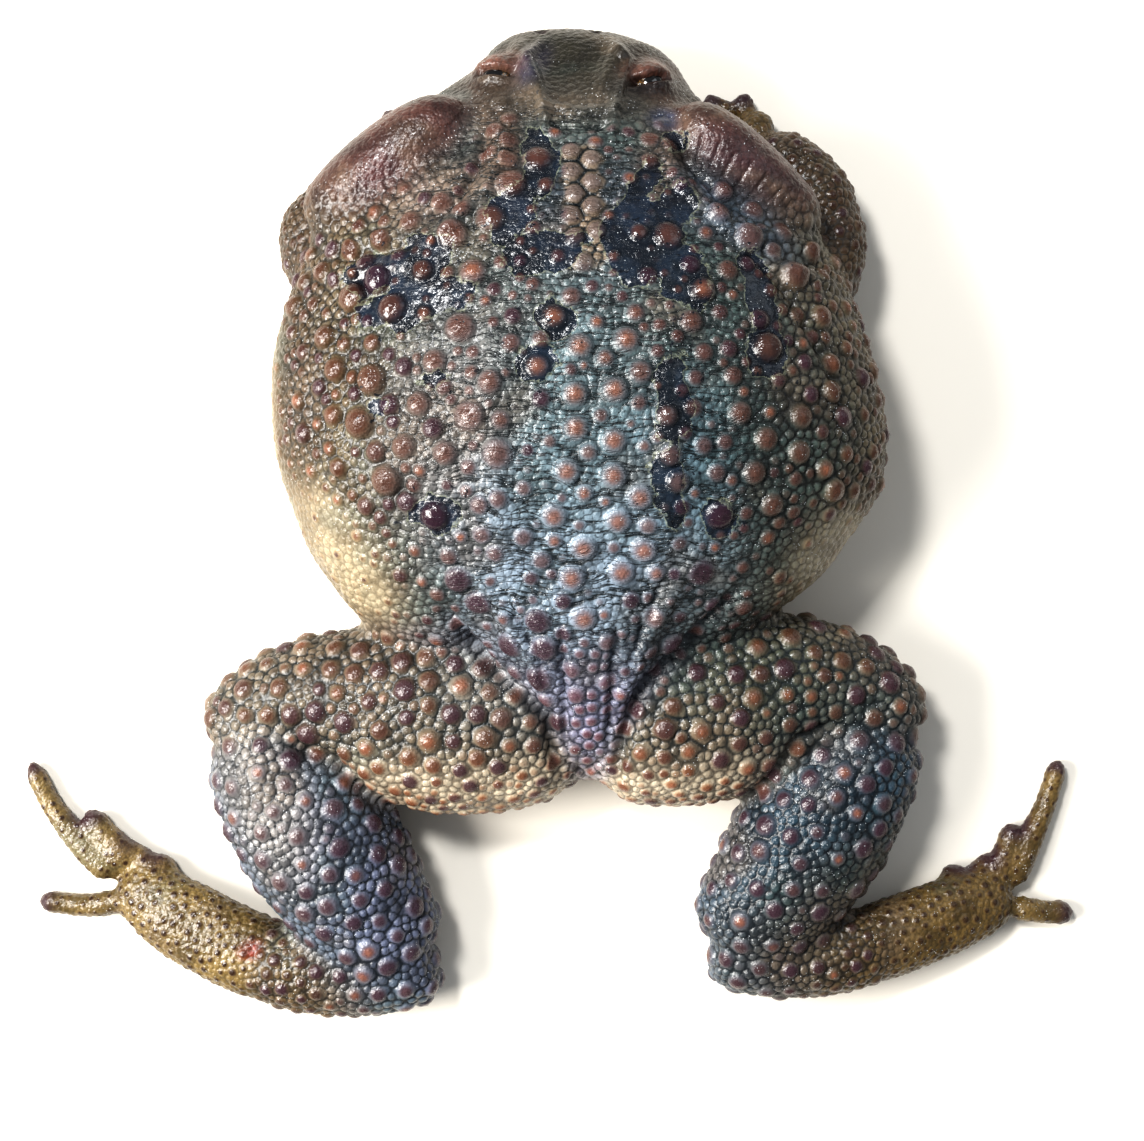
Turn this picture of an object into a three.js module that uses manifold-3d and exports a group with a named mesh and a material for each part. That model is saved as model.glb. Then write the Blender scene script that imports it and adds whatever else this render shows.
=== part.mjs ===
// A cane toad, a large adult female, life size, lying relaxed on its belly.
// Millimetres, +Z up, +Y towards the snout and +X towards the toad's right side.
// The origin is on the ground, under the middle of the belly.
import * as THREE from "three";
import { mergeVertices } from "three/addons/utils/BufferGeometryUtils.js";
import Module from "manifold-3d";

const wasm = await Module();
wasm.setup();

// Driving dimensions
const SNOUT_Y = 74.4;
const VENT_Y = -79.5;
const BACK_HEIGHT = 52;
const TRUNK_LEFT = 64;
const TRUNK_RIGHT = 60;
const GIRTH_Z = 19; // height of the widest line of the trunk
const BELLY_SINK = 6; // how far the round of the belly would reach under the ground if it did not flatten
const GAP = 0.3; // cut between neighbouring parts
const NECK_Y = 45;
const CHEST_Y = 14;
const HIP_Y = -37;
const MOUTH_Z = 11.5;
const MOUTH_RISE = 0.09; // rise of the mouth line for each millimetre back from the snout
const EYE_RADIUS = 4.3;
const LID_THICKNESS = 1.3;
const SLIT = 0.9; // opening between the lids
const EAR_RADIUS = 2.7;
const FINGER_RADIUS = 1.75;
const FACE_TOLERANCE = 0.08; // faces closer to flat than this are joined
const FLESH_FLOOR = 0; // everything that rests is flat at this level

// Colours of the finishes
const HIDE = { color: 0x66635f, roughness: 0.5, metalness: 0 };
const HEAD_HIDE = { color: 0x4b4638, roughness: 0.45, metalness: 0 };
const GLAND_HIDE = { color: 0x6f4a3c, roughness: 0.42, metalness: 0 };
const LEG_HIDE = { color: 0x6a5342, roughness: 0.5, metalness: 0 };
const SHANK_HIDE = { color: 0x4e5361, roughness: 0.48, metalness: 0 };
const FOOT_HIDE = { color: 0x8a7a4c, roughness: 0.5, metalness: 0 };
const PALE_HIDE = { color: 0xa8987a, roughness: 0.5, metalness: 0 };
const EYE_SHINE = { color: 0x1c1a16, roughness: 0.12, metalness: 0 };

const UP = new THREE.Vector3(0, 0, 1);

// A repeatable number from 0 to 1 for a whole number and a seed.
function chance(index, seed) {
  const wave = Math.sin(index * 12.9898 + seed * 78.233) * 43758.5453;
  return wave - Math.floor(wave);
}

// A solid from a closed geometry, with its shared corners merged and its faces pointing out.
function solidFrom(geometry) {
  geometry.deleteAttribute("normal");
  geometry.deleteAttribute("uv");
  const merged = mergeVertices(geometry, 1e-4);
  const corner = (i) => new THREE.Vector3().fromBufferAttribute(merged.attributes.position, i);
  const faces = [];
  let volume = 0;
  for (let i = 0; i < merged.index.count; i += 3) {
    const [a, b, c] = [0, 1, 2].map((k) => merged.index.getX(i + k));
    if (a === b || b === c || c === a) continue;
    faces.push([a, b, c]);
    volume += corner(a).dot(corner(b).cross(corner(c)));
  }
  const outward = volume > 0 ? faces : faces.map(([a, b, c]) => [a, c, b]);
  return new wasm.Manifold(new wasm.Mesh({
    numProp: 3,
    vertProperties: Float32Array.from(merged.attributes.position.array),
    triVerts: Uint32Array.from(outward.flat()),
  }));
}

// A solid's faces as a geometry.
function geometryFrom(solid) {
  const { vertProperties, triVerts } = solid.getMesh();
  const geometry = new THREE.BufferGeometry();
  geometry.setAttribute("position", new THREE.BufferAttribute(Float32Array.from(vertProperties), 3));
  geometry.setIndex(new THREE.BufferAttribute(Uint32Array.from(triVerts), 1));
  geometry.computeVertexNormals();
  return geometry;
}

// The largest closed piece of a solid.
function largest(solid) {
  return solid.decompose().reduce((best, piece) => (piece.volume() > best.volume() ? piece : best));
}

// The spine through the stations of a form, with the four half widths along it.
function spineOf(stations) {
  const points = stations.map(({ at }) => new THREE.Vector3(...at));
  const curve = new THREE.CatmullRomCurve3(points, false, "centripetal");
  const girths = stations.flatMap(({ left, right, up, down }) => [left, right, up, down]);
  const between = new THREE.CubicInterpolant(stations.map((_, i) => i), girths, 4);
  const length = curve.getLength();
  const frameAt = (travel) => {
    const share = THREE.MathUtils.clamp(travel / length, 0, 1);
    const t = curve.getUtoTmapping(share);
    const along = curve.getTangent(t);
    const overrun = travel - share * length;
    const centre = curve.getPoint(t).addScaledVector(along, overrun);
    const side = new THREE.Vector3().crossVectors(along, UP).normalize();
    const rise = new THREE.Vector3().crossVectors(side, along).normalize();
    const [left, right, up, down] = between.evaluate(t * (stations.length - 1));
    return { centre, side, rise, left, right, up, down };
  };
  return { length, frameAt };
}

// How wide a rounded end is at a distance from its tip, from 0 to 1.
function roundedEnd(distance, reach) {
  if (distance >= reach) return 1;
  return Math.sqrt(Math.max(0, 1 - (1 - distance / reach) ** 2));
}

// A closed tapering form along a smooth spine. Its rings are ellipses, or fuller where fullness is under 1,
// and grow makes the same form larger all round.
function form(stations, { sides = 20, rings = 14, ends = [8, 8], fullness = 1 }, grow = 0) {
  const { length, frameAt } = spineOf(stations);
  const blank = new THREE.SphereGeometry(1, sides, rings);
  const place = blank.attributes.position;
  for (let i = 0; i < place.count; i += 1) {
    const polar = Math.acos(THREE.MathUtils.clamp(place.getY(i), -1, 1));
    const around = Math.atan2(place.getZ(i), place.getX(i));
    const share = (polar / Math.PI + (1 - Math.cos(polar)) / 2) / 2;
    const whole = length + 2 * grow;
    const travel = share * whole;
    const { centre, side, rise, left, right, up, down } = frameAt(travel - grow);
    const narrow = roundedEnd(travel, ends[0] + grow) * roundedEnd(whole - travel, ends[1] + grow);
    const across = Math.sign(Math.cos(around)) * Math.abs(Math.cos(around)) ** fullness;
    const above = Math.sign(Math.sin(around)) * Math.abs(Math.sin(around)) ** fullness;
    const half = (across > 0 ? left : right) + grow;
    const tall = (above > 0 ? up : down) + grow;
    centre.addScaledVector(side, across * half * narrow);
    centre.addScaledVector(rise, above * tall * narrow);
    place.setXYZ(i, centre.x, centre.y, centre.z);
  }
  return solidFrom(blank);
}

// A station of the head and body: place on the midline, half widths to the left and right, height and depth.
function station(y, x, z, left, right, top, low) {
  return { at: [x, y, z], left, right, up: top - z, down: z - low };
}

// A station of a limb or digit: the middle of the limb, its half width and half height.
function limb(x, y, z, wide, high) {
  return { at: [x, y, z], left: wide, right: wide, up: high, down: high };
}

// An ellipsoid with its short axis along a direction.
function button(at, direction, radius, height, sides = 12, rings = 8) {
  const geometry = new THREE.SphereGeometry(1, sides, rings);
  geometry.rotateX(Math.PI / 2);
  geometry.scale(radius, radius, height);
  geometry.applyQuaternion(new THREE.Quaternion().setFromUnitVectors(UP, direction));
  geometry.translate(at.x, at.y, at.z);
  return solidFrom(geometry);
}

// A box between two corners.
function block(low, high) {
  const [wide, long, tall] = high.map((value, i) => value - low[i]);
  const geometry = new THREE.BoxGeometry(wide, long, tall);
  geometry.translate((low[0] + high[0]) / 2, (low[1] + high[1]) / 2, (low[2] + high[2]) / 2);
  return solidFrom(geometry);
}

const FAR = 200;
const ABOVE_GROUND = block([-FAR, -FAR, FLESH_FLOOR], [FAR, FAR, FAR]);

// The part of a solid between two levels of Y, with half a cut taken off each.
function slice(solid, rear, front) {
  return solid.intersect(block([-FAR, rear + GAP / 2, -FAR], [FAR, front - GAP / 2, FAR]));
}

// Warts in staggered rows over the upper side of a form: low domes with their roots sunk in.
function warts(host, stations, { rows, across, span, reach, radius, height, seed }) {
  const { length, frameAt } = spineOf(stations);
  const mesh = new THREE.Mesh(geometryFrom(host));
  const ray = new THREE.Raycaster();
  const spots = [];
  for (let row = 0; row < rows; row += 1) {
    for (let column = 0; column < across; column += 1) {
      const index = row * across + column;
      const step = (row + 0.5 + 0.5 * (chance(index, seed) - 0.5)) / rows;
      const stagger = (row % 2) / 2 + 0.25 + 0.4 * (chance(index, seed + 1) - 0.5);
      const angle = Math.PI / 2 + reach * (2 * (column + stagger) / across - 1);
      const { centre, side, rise } = frameAt(length * THREE.MathUtils.lerp(span[0], span[1], step));
      const out = side.multiplyScalar(Math.cos(angle)).addScaledVector(rise, Math.sin(angle));
      ray.set(centre.addScaledVector(out, FAR), out.clone().negate());
      const [hit] = ray.intersectObject(mesh);
      if (!hit) continue;
      const size = THREE.MathUtils.lerp(radius[0], radius[1], chance(index, seed + 2));
      spots.push({ at: hit.point, normal: hit.face.normal, size, height: height * (0.7 + 0.6 * chance(index, seed + 3)) });
    }
  }
  return spots;
}

// The warts themselves, grown by the width of a cut where they clear a neighbour.
function domes(spots, grow = 0) {
  return spots.map(({ at, normal, size, height }) => {
    const root = at.clone().addScaledVector(normal, -height * 0.5);
    return button(root, normal, size + grow, height * 1.5 + grow, 6, 3);
  });
}

const toad = new THREE.Group();
const taken = []; // every solid placed so far, grown by the width of a cut

// Adds a node: the largest piece of the shape that is left once it stands on the ground and clears its neighbours.
function node(name, shape, finish) {
  const clear = taken.reduce((rest, other) => rest.subtract(other), shape.intersect(ABOVE_GROUND));
  const mesh = new THREE.Mesh(geometryFrom(largest(clear).simplify(FACE_TOLERANCE)), new THREE.MeshStandardMaterial(finish));
  mesh.name = name;
  toad.add(mesh);
}

// Adds a node grown along its own spine, with its warts if it has any.
function grownNode(name, stations, style, finish, wartStyle) {
  const plain = form(stations, style);
  const spots = wartStyle ? warts(plain, stations, wartStyle) : [];
  node(name, domes(spots).reduce((sum, dome) => sum.add(dome), plain), finish);
  const swollen = form(stations, style, GAP);
  taken.push(domes(spots, GAP).reduce((sum, dome) => sum.add(dome), swollen.add(plain)));
}

// Head and body

const LOW = -BELLY_SINK;
const TORSO = [
  station(56, -4, GIRTH_Z, 24, 23, 33, 2),
  station(44, -4, GIRTH_Z, 40, 37, 41, LOW / 2),
  station(30, -4, GIRTH_Z, 52, 50, 46, LOW),
  station(14, -3.5, GIRTH_Z, TRUNK_LEFT - 5, TRUNK_RIGHT - 2.5, BACK_HEIGHT - 2, LOW),
  station(0, -3, GIRTH_Z, TRUNK_LEFT - 3, TRUNK_RIGHT + 0.5, BACK_HEIGHT, LOW),
  station(-14, -2, GIRTH_Z, TRUNK_LEFT - 4, TRUNK_RIGHT + 2, BACK_HEIGHT, LOW),
  station(-26, -1.5, GIRTH_Z, TRUNK_LEFT - 7.5, TRUNK_RIGHT - 1.5, BACK_HEIGHT - 3, LOW),
  station(-36, -1, GIRTH_Z, TRUNK_LEFT - 12, TRUNK_RIGHT - 10, BACK_HEIGHT - 8, LOW),
  station(-45, -1, GIRTH_Z - 1, TRUNK_LEFT - 17, TRUNK_RIGHT - 23, BACK_HEIGHT - 15, LOW),
  station(-53, -1, GIRTH_Z - 3, TRUNK_LEFT - 26, TRUNK_RIGHT - 32, BACK_HEIGHT - 23, LOW),
];
const PELVIS = [
  station(-18, -1, 18, 44, 42, BACK_HEIGHT - 3, -2),
  station(-36, -1, 18, 34, 33, BACK_HEIGHT - 7, -2),
  station(-48, -0.5, 17, 26, 26, 40, -2),
  station(-60, 0, 16, 17.5, 17.5, 33.5, -2),
  station(-71, 0, 15, 10.5, 10.5, 27, 2),
  station(VENT_Y, 0, 14, 7, 7, 21, 6),
];
const SKULL = [
  station(SNOUT_Y, -4, 16, 12, 12, 21.5, 8),
  station(69.6, -4, 16, 16.5, 16.5, 24.5, 6),
  station(63.5, -3.5, 16.5, 24, 22.5, 28, 4.5),
  station(57, -3.5, 17, 28.5, 27, 32, 3.5),
  station(49, -3.8, 18, 34, 32, 37, 2),
  station(38, -4, 18.5, 38, 36, 43, -1),
  station(24, -4, 19, 36, 36, 46, -2),
];
const TORSO_STYLE = { sides: 34, rings: 20, ends: [14, 9], fullness: 0.86 };
const PELVIS_STYLE = { sides: 22, rings: 12, ends: [12, 6], fullness: 0.95 };
const SKULL_STYLE = { sides: 26, rings: 16, ends: [4, 14], fullness: 0.9 };

// The bony ridges that run from the snout back along the inner side of each eye, and on towards the gland.
function crest(mirror) {
  const inner = (x) => (mirror < 0 ? x : -7.5 - x);
  return [
    limb(inner(-14.3), 70.4, 21.6, 1.4, 1.3),
    limb(inner(-13.6), 66.5, 26, 1.6, 1.6),
    limb(inner(-11.4), 62, 29.3, 1.7, 1.7),
    limb(inner(-11.2), 56.5, 32.4, 1.8, 1.7),
    limb(inner(-13.8), 52.5, 33.8, 1.7, 1.5),
    limb(inner(-18.5), 50.4, 32.8, 1.5, 1.2),
  ];
}
const CREST_STYLE = { sides: 7, rings: 9, ends: [2, 2] };

// One eye: ball, two lids parted by a slit, and the socket that takes them.
function eye(at, axis, slitAlong) {
  const outward = axis.clone().normalize();
  const across = slitAlong.clone().addScaledVector(outward, -slitAlong.dot(outward)).normalize();
  const forward = new THREE.Vector3().crossVectors(outward, across);
  const turn = new THREE.Matrix4().makeBasis(across, forward, outward).setPosition(at);
  const local = (geometry) => solidFrom(geometry.applyMatrix4(turn));
  const ball = (radius) => local(new THREE.SphereGeometry(radius, 10, 8).rotateX(Math.PI / 2));
  const slab = (low, high) => {
    const size = high.map((value, i) => value - low[i]);
    return local(new THREE.BoxGeometry(...size).translate(...high.map((value, i) => (value + low[i]) / 2)));
  };
  const wide = 3 * EYE_RADIUS;
  const rim = -0.6; // the lids reach a little below the middle of the ball
  const dome = EYE_RADIUS + GAP + LID_THICKNESS;
  const shell = ball(dome).subtract(ball(EYE_RADIUS + GAP));
  return {
    ball: ball(EYE_RADIUS),
    lidsClear: ball(dome + GAP),
    lower: shell.intersect(slab([-wide, SLIT / 2, rim], [wide, wide, wide])),
    upper: shell.intersect(slab([-wide, -wide, rim], [wide, -SLIT / 2, wide])),
    socket: ball(dome + GAP).intersect(slab([-wide, -wide, rim - GAP], [wide, wide, wide])).add(ball(EYE_RADIUS + GAP)),
  };
}
const EYES = {
  left: eye(new THREE.Vector3(-17.9, 61, 24.6), new THREE.Vector3(-0.42, 0.28, 0.86), new THREE.Vector3(1, -0.12, 0)),
  right: eye(new THREE.Vector3(11.6, 59.8, 24.6), new THREE.Vector3(0.42, 0.28, 0.86), new THREE.Vector3(1, 0.28, 0)),
};
const plainBody = form(TORSO, TORSO_STYLE)
  .add(form(PELVIS, PELVIS_STYLE))
  .add(form(SKULL, SKULL_STYLE));
const plainMesh = new THREE.Mesh(geometryFrom(plainBody));

// The place on the plain body that a line from outside meets first, and the way it faces.
function onBody(towards, out) {
  const direction = out.clone().normalize();
  const start = towards.clone().addScaledVector(direction, FAR);
  const [hit] = new THREE.Raycaster(start, direction.clone().negate()).intersectObject(plainMesh);
  return { at: hit.point, out: hit.face.normal };
}
const EARS = {
  left: onBody(new THREE.Vector3(-24, 56.5, 19), new THREE.Vector3(-0.85, 0.25, 0.42)),
  right: onBody(new THREE.Vector3(17, 55.5, 19), new THREE.Vector3(0.85, 0.25, 0.42)),
};
const NOSTRILS = [-5.4, 5.4].map((x) => onBody(new THREE.Vector3(x - 4, SNOUT_Y - 3, 20), new THREE.Vector3(x / 20, 0.5, 0.86)));
const BACK_WARTS = {
  rows: 8, across: 6, span: [0.24, 0.93], reach: 1.25, radius: [1.9, 3.1], height: 1.1, seed: 3,
};
const RUMP_WARTS = {
  rows: 4, across: 3, span: [0.42, 0.9], reach: 0.9, radius: [1.4, 2.1], height: 0.9, seed: 9,
};
const bodyWarts = [...warts(plainBody, TORSO, BACK_WARTS), ...warts(plainBody, PELVIS, RUMP_WARTS)];
const crests = [-1, 1].map(crest);

// The whole head and body, the same size or grown by the width of a cut.
function body(grow) {
  const ridges = crests.map((stations) => form(stations, CREST_STYLE, grow));
  const whole = [form(PELVIS, PELVIS_STYLE, grow), form(SKULL, SKULL_STYLE, grow), ...ridges, ...domes(bodyWarts, grow)];
  return whole.reduce((sum, piece) => sum.add(piece), form(TORSO, TORSO_STYLE, grow));
}

// A wedge of space above or below the line of the mouth.
function beyondMouth(above) {
  const reach = 60;
  const height = (y) => MOUTH_Z + (SNOUT_Y - y) * MOUTH_RISE;
  const edge = above ? GAP / 2 : -GAP / 2;
  const outer = above ? FAR : -FAR;
  const outline = new THREE.Shape([
    new THREE.Vector2(SNOUT_Y + reach, height(SNOUT_Y + reach) + edge),
    new THREE.Vector2(SNOUT_Y - reach, height(SNOUT_Y - reach) + edge),
    new THREE.Vector2(SNOUT_Y - reach, outer),
    new THREE.Vector2(SNOUT_Y + reach, outer),
  ]);
  const wedge = new THREE.ExtrudeGeometry(outline, { depth: 2 * FAR, bevelEnabled: false });
  wedge.translate(0, 0, -FAR);
  wedge.applyMatrix4(new THREE.Matrix4().set(0, 0, 1, 0, 1, 0, 0, 0, 0, 1, 0, 0, 0, 0, 0, 1));
  return solidFrom(wedge);
}

const whole = body(0);
const face = slice(whole, NECK_Y, FAR);
const hollows = [
  EYES.left.socket,
  EYES.right.socket,
  ...Object.values(EARS).map(({ at, out }) => button(at, out, EAR_RADIUS + GAP, 1 + GAP, 10, 6)),
  ...NOSTRILS.map(({ at, out }) => button(at, out, 0.8, 1.3, 6, 4)),
];
node("head", hollows.reduce((rest, hollow) => rest.subtract(hollow), face.intersect(beyondMouth(true))), HEAD_HIDE);
node("lower_jaw", face.intersect(beyondMouth(false)), PALE_HIDE);
node("chest", slice(whole, CHEST_Y, NECK_Y), HIDE);
node("trunk", slice(whole, HIP_Y, CHEST_Y), HIDE);
node("rump", slice(whole, -FAR, HIP_Y), HIDE);
for (const [side, parts] of Object.entries(EYES)) {
  node(`eye_${side}`, parts.ball, EYE_SHINE);
  node(`upper_lid_${side}`, parts.upper, HEAD_HIDE);
  node(`lower_lid_${side}`, parts.lower, GLAND_HIDE);
  node(`eardrum_${side}`, button(EARS[side].at, EARS[side].out, EAR_RADIUS, 1, 10, 6), GLAND_HIDE);
}
taken.push(body(GAP));
for (const { lidsClear } of Object.values(EYES)) taken.push(lidsClear);
for (const { at, out } of Object.values(EARS)) taken.push(button(at, out, EAR_RADIUS + GAP, 1 + GAP, 10, 6));

// The glands behind the eyes, long swollen pads over the shoulders

const GLANDS = {
  left: [
    limb(-23.5, 55.5, 28, 4, 6),
    limb(-30, 50, 29, 8, 9),
    limb(-38, 43.5, 28, 9.5, 10),
    limb(-46.5, 37, 26, 9, 10),
    limb(-55, 30.5, 23, 6.5, 8),
  ],
  right: [
    limb(17, 54.5, 28, 4, 6),
    limb(22.5, 48.5, 29.5, 7.5, 9),
    limb(29, 42, 28, 8.8, 10),
    limb(36, 36, 26.5, 8.3, 10),
    limb(44.5, 29.5, 23, 6, 8),
  ],
};
const GLAND_STYLE = { sides: 16, rings: 9, ends: [5, 6], fullness: 0.92 };
for (const [side, stations] of Object.entries(GLANDS)) {
  grownNode(`gland_${side}`, stations, GLAND_STYLE, GLAND_HIDE);
}

// Arms

const ARMS = {
  left: {
    upper: [limb(-38, 13, 17, 9, 9), limb(-48, 19, 14, 9, 9.5), limb(-54, 26, 12.5, 8.6, 9), limb(-55.6, 34, 11.5, 8.2, 8.8), limb(-54.6, 41, 10.5, 7, 8.2)],
    fore: [limb(-56.4, 31, 11, 7.4, 8.5), limb(-51.4, 39.5, 10, 7.4, 8), limb(-45.5, 45.5, 8, 5.8, 6.6), limb(-42.5, 50.5, 5.5, 4.6, 4.6)],
    palm: [limb(-42.8, 49.8, 5, 4.6, 4.4), limb(-41, 53, 3.8, 5.2, 3.8), limb(-39.8, 56, 2.8, 4.6, 2.8)],
    fingers: [
      [limb(-37, 51.6, 2.6, FINGER_RADIUS, 2.3), limb(-33, 50.8, 1.9, 1.7, 1.9), limb(-29.5, 49.6, 1.5, 1.5, 1.5)],
      [limb(-37.5, 54.2, 2.5, FINGER_RADIUS, 2.2), limb(-33, 55, 1.9, 1.7, 1.9), limb(-29, 54.8, 1.5, 1.5, 1.5)],
      [limb(-38.6, 56, 2.4, FINGER_RADIUS, 2.2), limb(-36, 59, 1.9, 1.7, 1.9), limb(-33, 61.3, 1.5, 1.5, 1.5)],
      [limb(-41.3, 56, 2.4, FINGER_RADIUS, 2.2), limb(-41.8, 58.6, 1.9, 1.7, 1.9), limb(-42.1, 61, 1.6, 1.6, 1.6)],
    ],
  },
  right: {
    upper: [limb(34, 12, 17, 9, 9), limb(43, 18, 14, 9, 9.5), limb(48, 26, 12.5, 8.6, 9), limb(49, 34, 11.5, 8.2, 8.8), limb(48.2, 40.5, 11, 7.2, 8.4)],
    fore: [limb(49.6, 32, 11.5, 7.6, 9), limb(46.4, 41, 11, 8, 8.8), limb(41, 48, 9, 6.8, 7.4), limb(36.5, 53.5, 6, 5, 5)],
    palm: [limb(37, 53, 5, 4.8, 4.6), limb(34.2, 56.2, 3.9, 5.2, 3.9), limb(32, 58.8, 2.9, 4.6, 2.9)],
    fingers: [
      [limb(29.8, 54.2, 2.6, FINGER_RADIUS, 2.3), limb(26, 53, 1.9, 1.7, 1.9), limb(22.6, 51.4, 1.5, 1.5, 1.5)],
      [limb(29.6, 57, 2.5, FINGER_RADIUS, 2.2), limb(25.4, 57.4, 1.9, 1.7, 1.9), limb(21.6, 57, 1.5, 1.5, 1.5)],
      [limb(30.6, 59.6, 2.4, FINGER_RADIUS, 2.2), limb(27.6, 61.8, 1.9, 1.7, 1.9), limb(24.4, 63.2, 1.5, 1.5, 1.5)],
      [limb(32.8, 59.8, 2.6, FINGER_RADIUS, 2.3), limb(33, 62, 2.4, 1.75, 2), limb(32.6, 64.2, 2, 1.6, 1.7)],
    ],
  },
};
const ARM_STYLE = { sides: 14, rings: 8, ends: [6, 6], fullness: 0.95 };
const PALM_STYLE = { sides: 10, rings: 6, ends: [3, 3], fullness: 0.9 };
const DIGIT_STYLE = { sides: 7, rings: 6, ends: [1.2, 1.5] };
for (const [side, arm] of Object.entries(ARMS)) {
  grownNode(`upper_arm_${side}`, arm.upper, ARM_STYLE, HIDE);
  grownNode(`forearm_${side}`, arm.fore, ARM_STYLE, LEG_HIDE);
  grownNode(`hand_${side}`, arm.palm, PALM_STYLE, FOOT_HIDE);
  arm.fingers.forEach((stations, i) => grownNode(`finger_${i + 1}_${side}`, stations, DIGIT_STYLE, FOOT_HIDE));
}

// Legs

const LEGS = {
  left: {
    thigh: [limb(-1.6, -63, 15, 17.5, 14), limb(-18, -64.8, 15.5, 20.5, 15), limb(-35, -64.8, 15, 20.3, 14.6),
      limb(-50, -62.8, 14, 14.8, 12.6), limb(-61, -63.4, 12.6, 12.2, 11.2), limb(-69.3, -67.6, 11.8, 10.4, 10.6),
      limb(-75.6, -74.4, 11, 8.2, 9.8)],
    shank: [limb(-71.5, -67, 11.5, 10, 10), limb(-65.6, -76, 12.4, 13, 12), limb(-59.6, -85, 12.8, 15.6, 12.8),
      limb(-54, -93.5, 12.6, 16.2, 12.6), limb(-48.4, -102, 11.6, 14.8, 11.6), limb(-42, -111, 10, 12.4, 10),
      limb(-34.4, -118, 8.6, 11, 8.6)],
    ankle: [limb(-31, -114.8, 8.6, 9.8, 8.6), limb(-43, -119.4, 8.5, 9, 8.5), limb(-52, -119.8, 8.3, 8.9, 8.3),
      limb(-61, -118.8, 8, 8.8, 8), limb(-72, -115.4, 7, 8.7, 7)],
    foot: [limb(-62.6, -118.4, 7.6, 8.6, 7.6), limb(-70, -116.4, 7, 8.7, 7), limb(-78, -112.8, 6.2, 8.6, 6.2), limb(-86.5, -108.4, 5.2, 8.4, 5.2),
      limb(-94, -103.6, 4, 6.6, 4), limb(-98.6, -100.8, 3, 4.6, 3)],
    toes: [
      [limb(-87.5, -101.2, 3.6, 2.6, 3), limb(-90, -98.8, 2.8, 2.3, 2.6), limb(-91.6, -97.6, 2.2, 1.9, 2.1)],
      [limb(-92, -99, 3.2, 2.4, 2.8), limb(-95.6, -96.4, 2.6, 2.2, 2.4), limb(-98.4, -94.6, 2, 1.8, 1.9)],
      [limb(-96.4, -98.6, 3.4, 2.7, 2.9), limb(-100, -94, 3.2, 2.6, 2.7), limb(-103, -90.6, 2.9, 2.4, 2.5), limb(-105.4, -87.4, 2.5, 2, 2.1)],
      [limb(-98.4, -101, 3.2, 3, 3), limb(-104, -96.8, 3, 2.8, 2.8), limb(-109.6, -90.8, 2.5, 2.3, 2.4),
        limb(-114.4, -84, 2.1, 1.9, 2.1), limb(-118, -76.4, 1.8, 1.7, 1.8)],
      [limb(-97.4, -105.2, 3, 2.8, 2.9), limb(-104, -106.8, 2.6, 2.4, 2.5), limb(-110, -106.6, 2.1, 2, 2.1), limb(-115.8, -105.8, 1.8, 1.7, 1.8)],
    ],
    web: [limb(-98, -103.5, 1.5, 4, 1.1), limb(-103, -101, 1.3, 4.4, 0.8), limb(-106.8, -101, 1.1, 2.6, 0.6)],
  },
  right: {
    thigh: [limb(1.8, -63, 15, 17.5, 14), limb(14, -64.4, 15.5, 20, 15), limb(29, -62.8, 15, 19.6, 14.6),
      limb(42.5, -60.6, 14, 15.8, 12.6), limb(52, -61.2, 12.6, 12.8, 11.2), limb(59.6, -65, 11.8, 10.6, 10.6),
      limb(65.6, -72, 11, 8.2, 9.8)],
    shank: [limb(61.6, -65.6, 11.5, 10, 10), limb(56, -74.4, 12.4, 13, 12), limb(50, -83.6, 12.8, 15.2, 12.8),
      limb(44.2, -92.8, 12.6, 15.6, 12.6), limb(38, -102.4, 11.4, 14, 11.4), limb(31.2, -110.8, 9.8, 11.6, 9.8),
      limb(28, -115.4, 8.6, 9.8, 8.6)],
    ankle: [limb(25.4, -111.8, 8.6, 9.6, 8.6), limb(36.8, -116.2, 8.5, 8.5, 8.5), limb(53, -115.6, 8, 8.2, 8),
      limb(64.5, -112.2, 7, 8, 7)],
    foot: [limb(54.6, -115, 7.6, 8.2, 7.6), limb(62, -113.2, 7, 8.1, 7), limb(70, -110.4, 6.2, 8, 6.2), limb(78.5, -107.4, 5.2, 7.6, 5.2),
      limb(85.4, -105.6, 4, 6, 4), limb(89.4, -105.2, 3, 4.4, 3)],
    toes: [
      [limb(75.6, -102.2, 3.6, 2.6, 3), limb(77.2, -100.8, 2.8, 2.3, 2.6), limb(78.4, -99.2, 2.2, 1.9, 2.1)],
      [limb(81, -101.6, 3.2, 2.4, 2.8), limb(83.6, -99.2, 2.6, 2.1, 2.4), limb(85.2, -97, 2, 1.8, 1.9)],
      [limb(85.2, -102.4, 3.4, 2.4, 2.8), limb(87.4, -98, 3, 2.3, 2.5), limb(89, -93.4, 2.4, 2, 2.2), limb(90, -90, 2, 1.8, 1.9)],
      [limb(88.6, -103.4, 3.2, 2.6, 2.9), limb(91.8, -96.8, 2.9, 2.4, 2.6), limb(95.4, -88.6, 2.4, 2.1, 2.3),
        limb(98, -81.6, 2.1, 1.8, 2.1), limb(99.6, -75.8, 1.8, 1.7, 1.8)],
      [limb(89, -106.8, 3, 2.7, 2.8), limb(94, -108, 2.6, 2.3, 2.4), limb(98.6, -108.4, 2.1, 2, 2.1), limb(102.2, -108.4, 1.8, 1.7, 1.8)],
    ],
    web: [limb(89, -105.2, 1.5, 3.6, 1.1), limb(92.6, -103.6, 1.3, 4, 0.8), limb(95.8, -103.4, 1.1, 2.4, 0.6)],
  },
};
const THIGH_STYLE = { sides: 18, rings: 12, ends: [7, 8], fullness: 0.95 };
const SHANK_STYLE = { sides: 18, rings: 11, ends: [7, 7], fullness: 0.95 };
const ANKLE_STYLE = { sides: 14, rings: 8, ends: [6, 6], fullness: 0.92 };
const FOOT_STYLE = { sides: 14, rings: 9, ends: [4, 3], fullness: 0.9 };
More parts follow.
